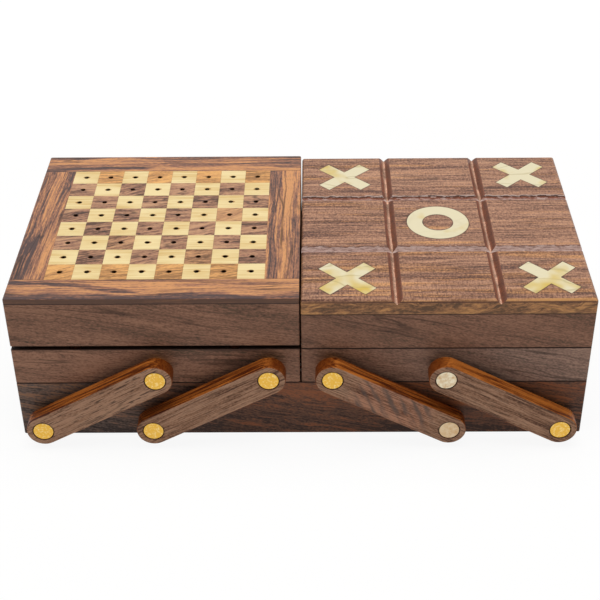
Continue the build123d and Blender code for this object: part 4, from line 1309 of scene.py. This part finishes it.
class GAMESBOX_OT_cards(bpy.types.Operator):
    """Build the pack of cards, card by card."""

    bl_idname = "gamesbox.cards"
    bl_label = "Playing cards"

    def execute(self, context):
        colours, sizes = context.scene.games_box_colours, context.scene.games_box_sizes
        low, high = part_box("playing_cards")
        centre, size = (low + high) / 2, high - low
        pitch = size.z / sizes.card_count
        # A card is a little thinner than the pitch, which leaves air between two.
        card = card_object(size.x / 2 - sizes.card_shift, size.y / 2 - sizes.card_shift, 0.9 * pitch)
        start = place_mesh("pack", [(centre.x, centre.y, low.z)], [(0, 0, 1)])
        pack = grow("pack_of_cards", start, pack_tree(), {
            "Card": card, "Count": sizes.card_count, "Pitch": pitch, "Shift": sizes.card_shift, "Seed": 4,
            "Finish": card_finish(colours),
        })
        bpy.data.objects.remove(card)
        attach(pack, "base")
        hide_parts("playing_cards")
        return {"FINISHED"}


# From one stick to the next.
STICK_PITCH = 2.85 * MM
# The dyes of the sticks, and the chance from which each is used.
STICK_DYES = ((0.0, "#9E2B22"), (0.3, "#2C5A8C"), (0.55, "#D9A62B"), (0.68, "#3F7A45"), (0.8, "#2A2321"))


class GAMESBOX_OT_sticks(bpy.types.Operator):
    """Finish the pick-up sticks with their coloured bands."""

    bl_idname = "gamesbox.sticks"
    bl_label = "Pick-up sticks"

    def execute(self, context):
        colours = context.scene.games_box_colours
        # Planed bamboo with thin dyed bands near both ends, one colour to a stick.
        finish, tree, shader = new_finish("dyed_bamboo_sticks")
        tones = (colours.stick, colours.light_grain)
        wood, relief = pale_wood(tree, grain_space(tree, "Y"), tones, run=30, width=0.4)
        low = solids("pick_up_sticks")[0][0]
        place = add(tree, "ShaderNodeTexCoord").outputs["Object"]
        counted = add(tree, "ShaderNodeVectorMath", (place, low), operation="SUBTRACT")
        share = 1 / STICK_PITCH
        counted = add(tree, "ShaderNodeVectorMath", (counted, (share, 0, share)), operation="MULTIPLY")
        cell = add(tree, "ShaderNodeVectorMath", (counted,), operation="FLOOR")
        chance = add(tree, "ShaderNodeTexWhiteNoise", {"Vector": cell}, noise_dimensions="3D")
        stops = [(level, colour(code)) for level, code in STICK_DYES]
        dyes = add(tree, "ShaderNodeValToRGB", (chance.outputs["Value"],), stops)
        dyes.color_ramp.interpolation = "CONSTANT"
        along = add(tree, "ShaderNodeMath", (position(tree)[1],), operation="ABSOLUTE")
        wide, narrow = within(tree, along, 34, 40, 0.1), within(tree, along, 28, 30, 0.1)
        bands = add(tree, "ShaderNodeMath", (wide, narrow), operation="ADD")
        lacquer(tree, shader, stained(tree, wood, dyes, bands), relief, roughness=0.45, depth=0.03)
        paint("pick_up_sticks", finish)
        return {"FINISHED"}


# The foot of every turned man, from the tip of its peg: (radius, height above the board) in millimetres.
FOOT = [
    (0, -6.0), (0.75, -6.0), (1.0, -5.7), (1.0, 0), (2.85, 0), (3.1, 0.25), (3.1, 1.0), (2.75, 1.35),
    (2.2, 1.6),
]
# How long each man is from the tip of its peg, and its outline above the foot.
MEN = {
    "pawn": (15.0, [
        (1.5, 2.4), (1.15, 4.2), (1.1, 5.0), (1.75, 5.2), (1.75, 5.5), (1.2, 5.8), (1.75, 6.2), (2.1, 7.0),
        (1.95, 7.9), (1.3, 8.7), (0, 9.0)]),
    "rook": (16.0, [
        (1.7, 2.6), (1.45, 4.5), (1.5, 5.6), (2.1, 5.8), (2.1, 6.2), (1.7, 6.4), (1.7, 7.4), (2.23, 8.0),
        (2.23, 10.0), (1.5, 10.0), (1.5, 9.3), (0, 9.3)]),
    "knight": (17.0, [(1.7, 2.4), (1.7, 2.9), (1.3, 3.3), (0, 3.3)]),
    "bishop": (18.65, [
        (1.5, 2.6), (1.1, 5.0), (1.1, 6.6), (2.0, 6.9), (2.0, 7.3), (1.1, 7.6), (1.6, 8.4), (1.9, 9.4),
        (1.6, 10.6), (0.9, 11.6), (0.45, 12.0), (0.65, 12.3), (0.45, 12.6), (0, 12.65)]),
    "queen": (20.15, [
        (1.6, 2.8), (1.1, 5.4), (1.1, 8.0), (2.1, 8.3), (2.1, 8.7), (1.2, 9.0), (1.5, 10.4), (2.2, 12.3),
        (1.9, 12.7), (1.0, 13.0), (0.5, 13.3), (0.65, 13.7), (0.4, 14.1), (0, 14.15)]),
    "king": (22.45, [
        (1.6, 2.8), (1.15, 5.6), (1.15, 8.6), (2.15, 8.9), (2.15, 9.3), (1.2, 9.6), (1.5, 11.0), (2.1, 12.9),
        (1.7, 13.4), (0.7, 13.8), (0, 13.8)]),
}
# The knight's head and the king's cross: an outline in X and Z, and half its thickness.
CARVINGS = {
    "knight": ([
        (-1.2, 2.6), (1.6, 2.6), (1.9, 5.0), (1.6, 7.2), (0.9, 9.4), (0.2, 10.6), (-0.3, 10.9), (-0.5, 10.1),
        (-1.3, 9.4), (-2.5, 7.7), (-2.4, 7.0), (-1.6, 6.9), (-0.5, 7.3), (-0.9, 6.0), (-1.5, 4.4)], 1.1),
    "king": ([
        (-0.45, 13.4), (0.45, 13.4), (0.45, 14.6), (1.5, 14.6), (1.5, 15.5), (0.45, 15.5), (0.45, 16.4),
        (-0.45, 16.4), (-0.45, 15.5), (-1.5, 15.5), (-1.5, 14.6), (-0.45, 14.6)], 0.45),
}


def man_object(kind):
    """A turned man. The knight's head and the king's cross are carved flat, with softened edges."""
    profile = [(radius * MM, level * MM) for radius, level in FOOT + MEN[kind][1]]
    mesh = turned(kind, profile, sides=18)
    if kind in CARVINGS:
        outline, half = CARVINGS[kind]
        shape = bmesh.new()
        shape.from_mesh(mesh)
        corners = [(x * MM, -half * MM, z * MM) for x, z in outline]
        faces = raise_outline(shape, corners, (0, 2 * half * MM, 0))
        edges = {edge for face in faces for edge in face.edges}
        bmesh.ops.bevel(
            shape, geom=list(edges), offset=0.3 * MM, segments=2, affect="EDGES", clamp_overlap=True
        )
        mesh = finished_mesh(kind, shape)
    return bpy.data.objects.new(kind, mesh)


def man_finishes(colours):
    """Waxed wood with a soft, even gloss: close, pale maple for one side, dark sheesham for the other."""
    maple, tree, shader = new_finish("waxed_maple_men")
    tones = (colours.man_light, colours.light_grain)
    wood, relief = pale_wood(tree, grain_space(tree, "Y"), tones, run=14, width=0.7)
    lacquer(tree, shader, wood, relief, roughness=0.38, depth=0.05)
    rosewood, tree, shader = new_finish("waxed_sheesham_men")
    look = dict(PLAIN, figure=(20, 2.2), wander=2.0, veins=(30, 3), spread=0.16)
    tones = (colours.vein, colours.man_dark, colours.board_brown)
    wood, relief = sheesham(tree, grain_space(tree, "Y"), tones, colours.vein, look)
    lacquer(tree, shader, wood, relief, roughness=0.36, depth=0.05)
    return {"light_chess_men": maple, "dark_chess_men": rosewood}


class GAMESBOX_OT_chess_men(bpy.types.Operator):
    """Turn the peg chess men and lay them in the left tray."""

    bl_idname = "gamesbox.chess_men"
    bl_label = "Chess men"

    def execute(self, context):
        tree = repeat_tree("repeat_men")
        peg = -FOOT[0][1] * MM
        for node, finish in man_finishes(context.scene.games_box_colours).items():
            kinds = {kind: [] for kind in MEN}
            for low, high in solids(node):
                kind = min(MEN, key=lambda name: abs(MEN[name][0] * MM - (high.y - low.y)))
                kinds[kind].append(((low.x + high.x) / 2, low.y + peg, (low.z + high.z) / 2))
            whole = bmesh.new()
            for number, (kind, spots) in enumerate(kinds.items()):
                piece = repeated(
                    f"{node}_{kind}", man_object(kind), spots, [(0, 1, 0)] * len(spots), tree, finish,
                    roll=2 * math.pi, seed=5 + number,
                )
                whole.from_mesh(piece.data)
                bpy.data.objects.remove(piece)
            name = "turned_" + node
            mesh = finished_mesh(name, whole)
            mesh.materials.append(finish)
            men = bpy.data.objects.new(name, mesh)
            context.scene.collection.objects.link(men)
            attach(men, BODY_OF[node])
            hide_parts(node)
        return {"FINISHED"}


# The radius of a loose ring's bore.
RING_BORE = 7.2 * MM


def ring_mesh(name, half, thick, bevel):
    """A ring with rounded edges, half so wide."""
    profile = [
        (half, bevel), (half, thick - bevel), (half - bevel, thick), (RING_BORE + bevel, thick),
        (RING_BORE, thick - bevel), (RING_BORE, bevel), (RING_BORE + bevel, 0), (half - bevel, 0),
    ]
    return turned(name, profile, sides=56, hollow=True)


def cross_mesh(name, thick, bevel):
    """A cross with rounded edges: two bars at 45 degrees."""
    long, wide = CROSS[0] / 2 * MM, CROSS[1] / 2 * MM
    outline = []
    for quarter in range(4):
        turn = Matrix.Rotation(math.pi / 2 * quarter + math.pi / 4, 2)
        outline += [turn @ Vector(corner) for corner in ((long, -wide), (long, wide), (wide, wide))]
    shape = bmesh.new()
    raise_outline(shape, [(*corner, 0) for corner in outline], (0, 0, thick))
    bmesh.ops.bevel(shape, geom=shape.edges[:], offset=bevel, segments=2, affect="EDGES")
    return finished_mesh(name, shape)


class GAMESBOX_OT_counters(bpy.types.Operator):
    """Build the loose brass noughts and crosses in the right tray."""

    bl_idname = "gamesbox.counters"
    bl_label = "Loose noughts and crosses"

    def execute(self, context):
        colours, bevel = context.scene.games_box_colours, context.scene.games_box_sizes.counter_bevel
        # Cast and tumbled brass: a soft mirror, pale with golden patches.
        finish, tree, shader = new_finish("cast_brass_counters")
        tones = (colours.brass, colours.brass_gold)
        brass(tree, shader, tones, patch=9.0, wave=7.0, wave_depth=0.3, roughness=0.32)
        tree = repeat_tree("repeat_counters")
        for node, name in (("loose_crosses", "cast_crosses"), ("loose_rings", "cast_rings")):
            boxes = solids(node)
            low, high = boxes[0]
            thick = high.z - low.z
            if node == "loose_rings":
                mesh, roll = ring_mesh(name, (high.x - low.x) / 2, thick, bevel), 2 * math.pi
            else:
                mesh, roll = cross_mesh(name, thick, bevel), 0.0
            part = bpy.data.objects.new(name, mesh)
            spots = [((low.x + high.x) / 2, (low.y + high.y) / 2, low.z) for low, high in boxes]
            piece = repeated(name, part, spots, [(0, 0, 1)] * len(spots), tree, finish, roll, seed=9)
            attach(piece, BODY_OF[node])
            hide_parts(node)
        return {"FINISHED"}


# ---- Operator: the stage ----

def seen_directly(tree):
    """1 for the rays that show the surround as it is: to the camera, or by way of gloss or glass."""
    ray = add(tree, "ShaderNodeLightPath").outputs
    seen = add(tree, "ShaderNodeMath", (ray["Is Camera Ray"], ray["Is Glossy Ray"]), operation="MAXIMUM")
    return add(tree, "ShaderNodeMath", (seen, ray["Is Transmission Ray"]), operation="MAXIMUM")


def set_surround(scene, strength):
    """Even light from all round, which shows as plain white."""
    world = bpy.data.worlds.new("pale_surround")
    scene.world = world
    world.use_nodes = True
    tree = world.node_tree
    tree.nodes.clear()
    even = add(tree, "ShaderNodeBackground", {"Color": (1, 1, 1, 1), "Strength": strength})
    white = add(tree, "ShaderNodeBackground", {"Color": (1, 1, 1, 1), "Strength": 1.0})
    both = add(tree, "ShaderNodeMixShader", (seen_directly(tree), even, white))
    add(tree, "ShaderNodeOutputWorld", {"Surface": both})


def set_floor(scene, shadow):
    """A wide floor that keeps part of the object's shadow near it, and is plain white farther off."""
    mesh = bpy.data.meshes.new("floor")
    reach = 3.0
    corners = [(-reach, -reach, 0), (reach, -reach, 0), (reach, reach, 0), (-reach, reach, 0)]
    mesh.from_pydata(corners, [], [(0, 1, 2, 3)])
    floor = bpy.data.objects.new("floor", mesh)
    scene.collection.objects.link(floor)
    # Matt acrylic sheet: it shows as plain white, and keeps a faint part of the shadow.
    finish, tree, shader = new_finish("matt_white_acrylic")
    fill(shader, {"Base Color": colour("#F2F1EE"), "Roughness": 0.8})
    away = add(tree, "ShaderNodeTexCoord").outputs["Object"]
    away = add(tree, "ShaderNodeVectorMath", (away,), operation="LENGTH").outputs["Value"]
    near, far = 0.25, 0.6
    plain = add(tree, "ShaderNodeMapRange", (away, near, far, 1.0 - shadow, 1.0))
    share = add(tree, "ShaderNodeMath", (seen_directly(tree), plain), operation="MULTIPLY")
    white = add(tree, "ShaderNodeEmission", {"Color": (1, 1, 1, 1), "Strength": 1.04})
    both = add(tree, "ShaderNodeMixShader", (share, shader, white))
    output = next(node for node in tree.nodes if node.type == "OUTPUT_MATERIAL")
    fill(output, {"Surface": both})
    mesh.materials.append(finish)


def set_lamp(scene, name, power, size, place):
    """A soft box that lights the middle of the object."""
    lamp = bpy.data.lights.new(name, "AREA")
    lamp.energy = power
    lamp.shape = "RECTANGLE"
    lamp.size, lamp.size_y = size
    item = bpy.data.objects.new(name, lamp)
    scene.collection.objects.link(item)
    item.location = place
    # Brass mirrors the surround, and not the lamps themselves.
    item.visible_glossy = False
    target = Vector((0, 0, 0.03))
    item.rotation_euler = (target - Vector(place)).to_track_quat("-Z", "Y").to_euler()


def set_camera(scene):
    """The camera: in front of the object and above it."""
    lens_data = bpy.data.cameras.new("camera")
    lens_data.sensor_width = 36.0
    lens_data.lens = 77.51
    camera = bpy.data.objects.new("camera", lens_data)
    scene.collection.objects.link(camera)
    pitch, yaw, roll = math.radians(34.72), math.radians(-0.84), math.radians(0.73)
    turn = Matrix.Rotation(-yaw, 4, "Z") @ Matrix.Rotation(math.pi / 2 - pitch, 4, "X")
    turn = turn @ Matrix.Rotation(-roll, 4, "Z")
    camera.matrix_world = Matrix.Translation((0.00669, -0.51485, 0.38665)) @ turn
    scene.camera = camera


class GAMESBOX_OT_stage(bpy.types.Operator):
    """Set the floor, the lights, the surround and the camera."""

    bl_idname = "gamesbox.stage"
    bl_label = "Stage"

    def execute(self, context):
        scene = context.scene
        light = scene.games_box_light
        scene.view_settings.view_transform = "Standard"
        set_surround(scene, light.surround)
        set_floor(scene, light.shadow)
        set_lamp(scene, "top_soft_box", light.top_power, (0.9, 0.9), (0.0, 0.05, 1.1))
        set_lamp(scene, "front_soft_box", light.front_power, (1.0, 0.15), (0.1, -1.0, 0.12))
        set_camera(scene)
        return {"FINISHED"}


# ---- The add-on ----

STEPS = (
    GAMESBOX_OT_stage, GAMESBOX_OT_boards, GAMESBOX_OT_chess_board, GAMESBOX_OT_grooved_board,
    GAMESBOX_OT_arms, GAMESBOX_OT_hinges, GAMESBOX_OT_dominoes, GAMESBOX_OT_dice, GAMESBOX_OT_cards,
    GAMESBOX_OT_sticks, GAMESBOX_OT_chess_men, GAMESBOX_OT_counters,
)


class GAMESBOX_PT_panel(bpy.types.Panel):
    """The games box's steps and its sizes, colours and lights."""

    bl_idname = "GAMESBOX_PT_panel"
    bl_label = "Games box"
    bl_space_type = "VIEW_3D"
    bl_region_type = "UI"
    bl_category = "Games box"

    def draw(self, context):
        for step in STEPS:
            self.layout.operator(step.bl_idname)
        for group in ("games_box_sizes", "games_box_light", "games_box_colours"):
            values = getattr(context.scene, group)
            column = self.layout.column(align=True)
            for name in values.__annotations__:
                column.prop(values, name)


GROUPS = {
    "games_box_colours": GamesBoxColours, "games_box_sizes": GamesBoxSizes, "games_box_light": GamesBoxLight,
}
CLASSES = (*GROUPS.values(), *STEPS, GAMESBOX_PT_panel)


def register():
    for item in CLASSES:
        bpy.utils.register_class(item)
    for name, group in GROUPS.items():
        setattr(bpy.types.Scene, name, bpy.props.PointerProperty(type=group))


def unregister():
    for name in GROUPS:
        delattr(bpy.types.Scene, name)
    for item in reversed(CLASSES):
        bpy.utils.unregister_class(item)


def main():
    """Dress the model: run each step in order."""
    register()
    for step in STEPS:
        category, action = step.bl_idname.split(".")
        getattr(getattr(bpy.ops, category), action)()


if __name__ == "__main__":
    main()
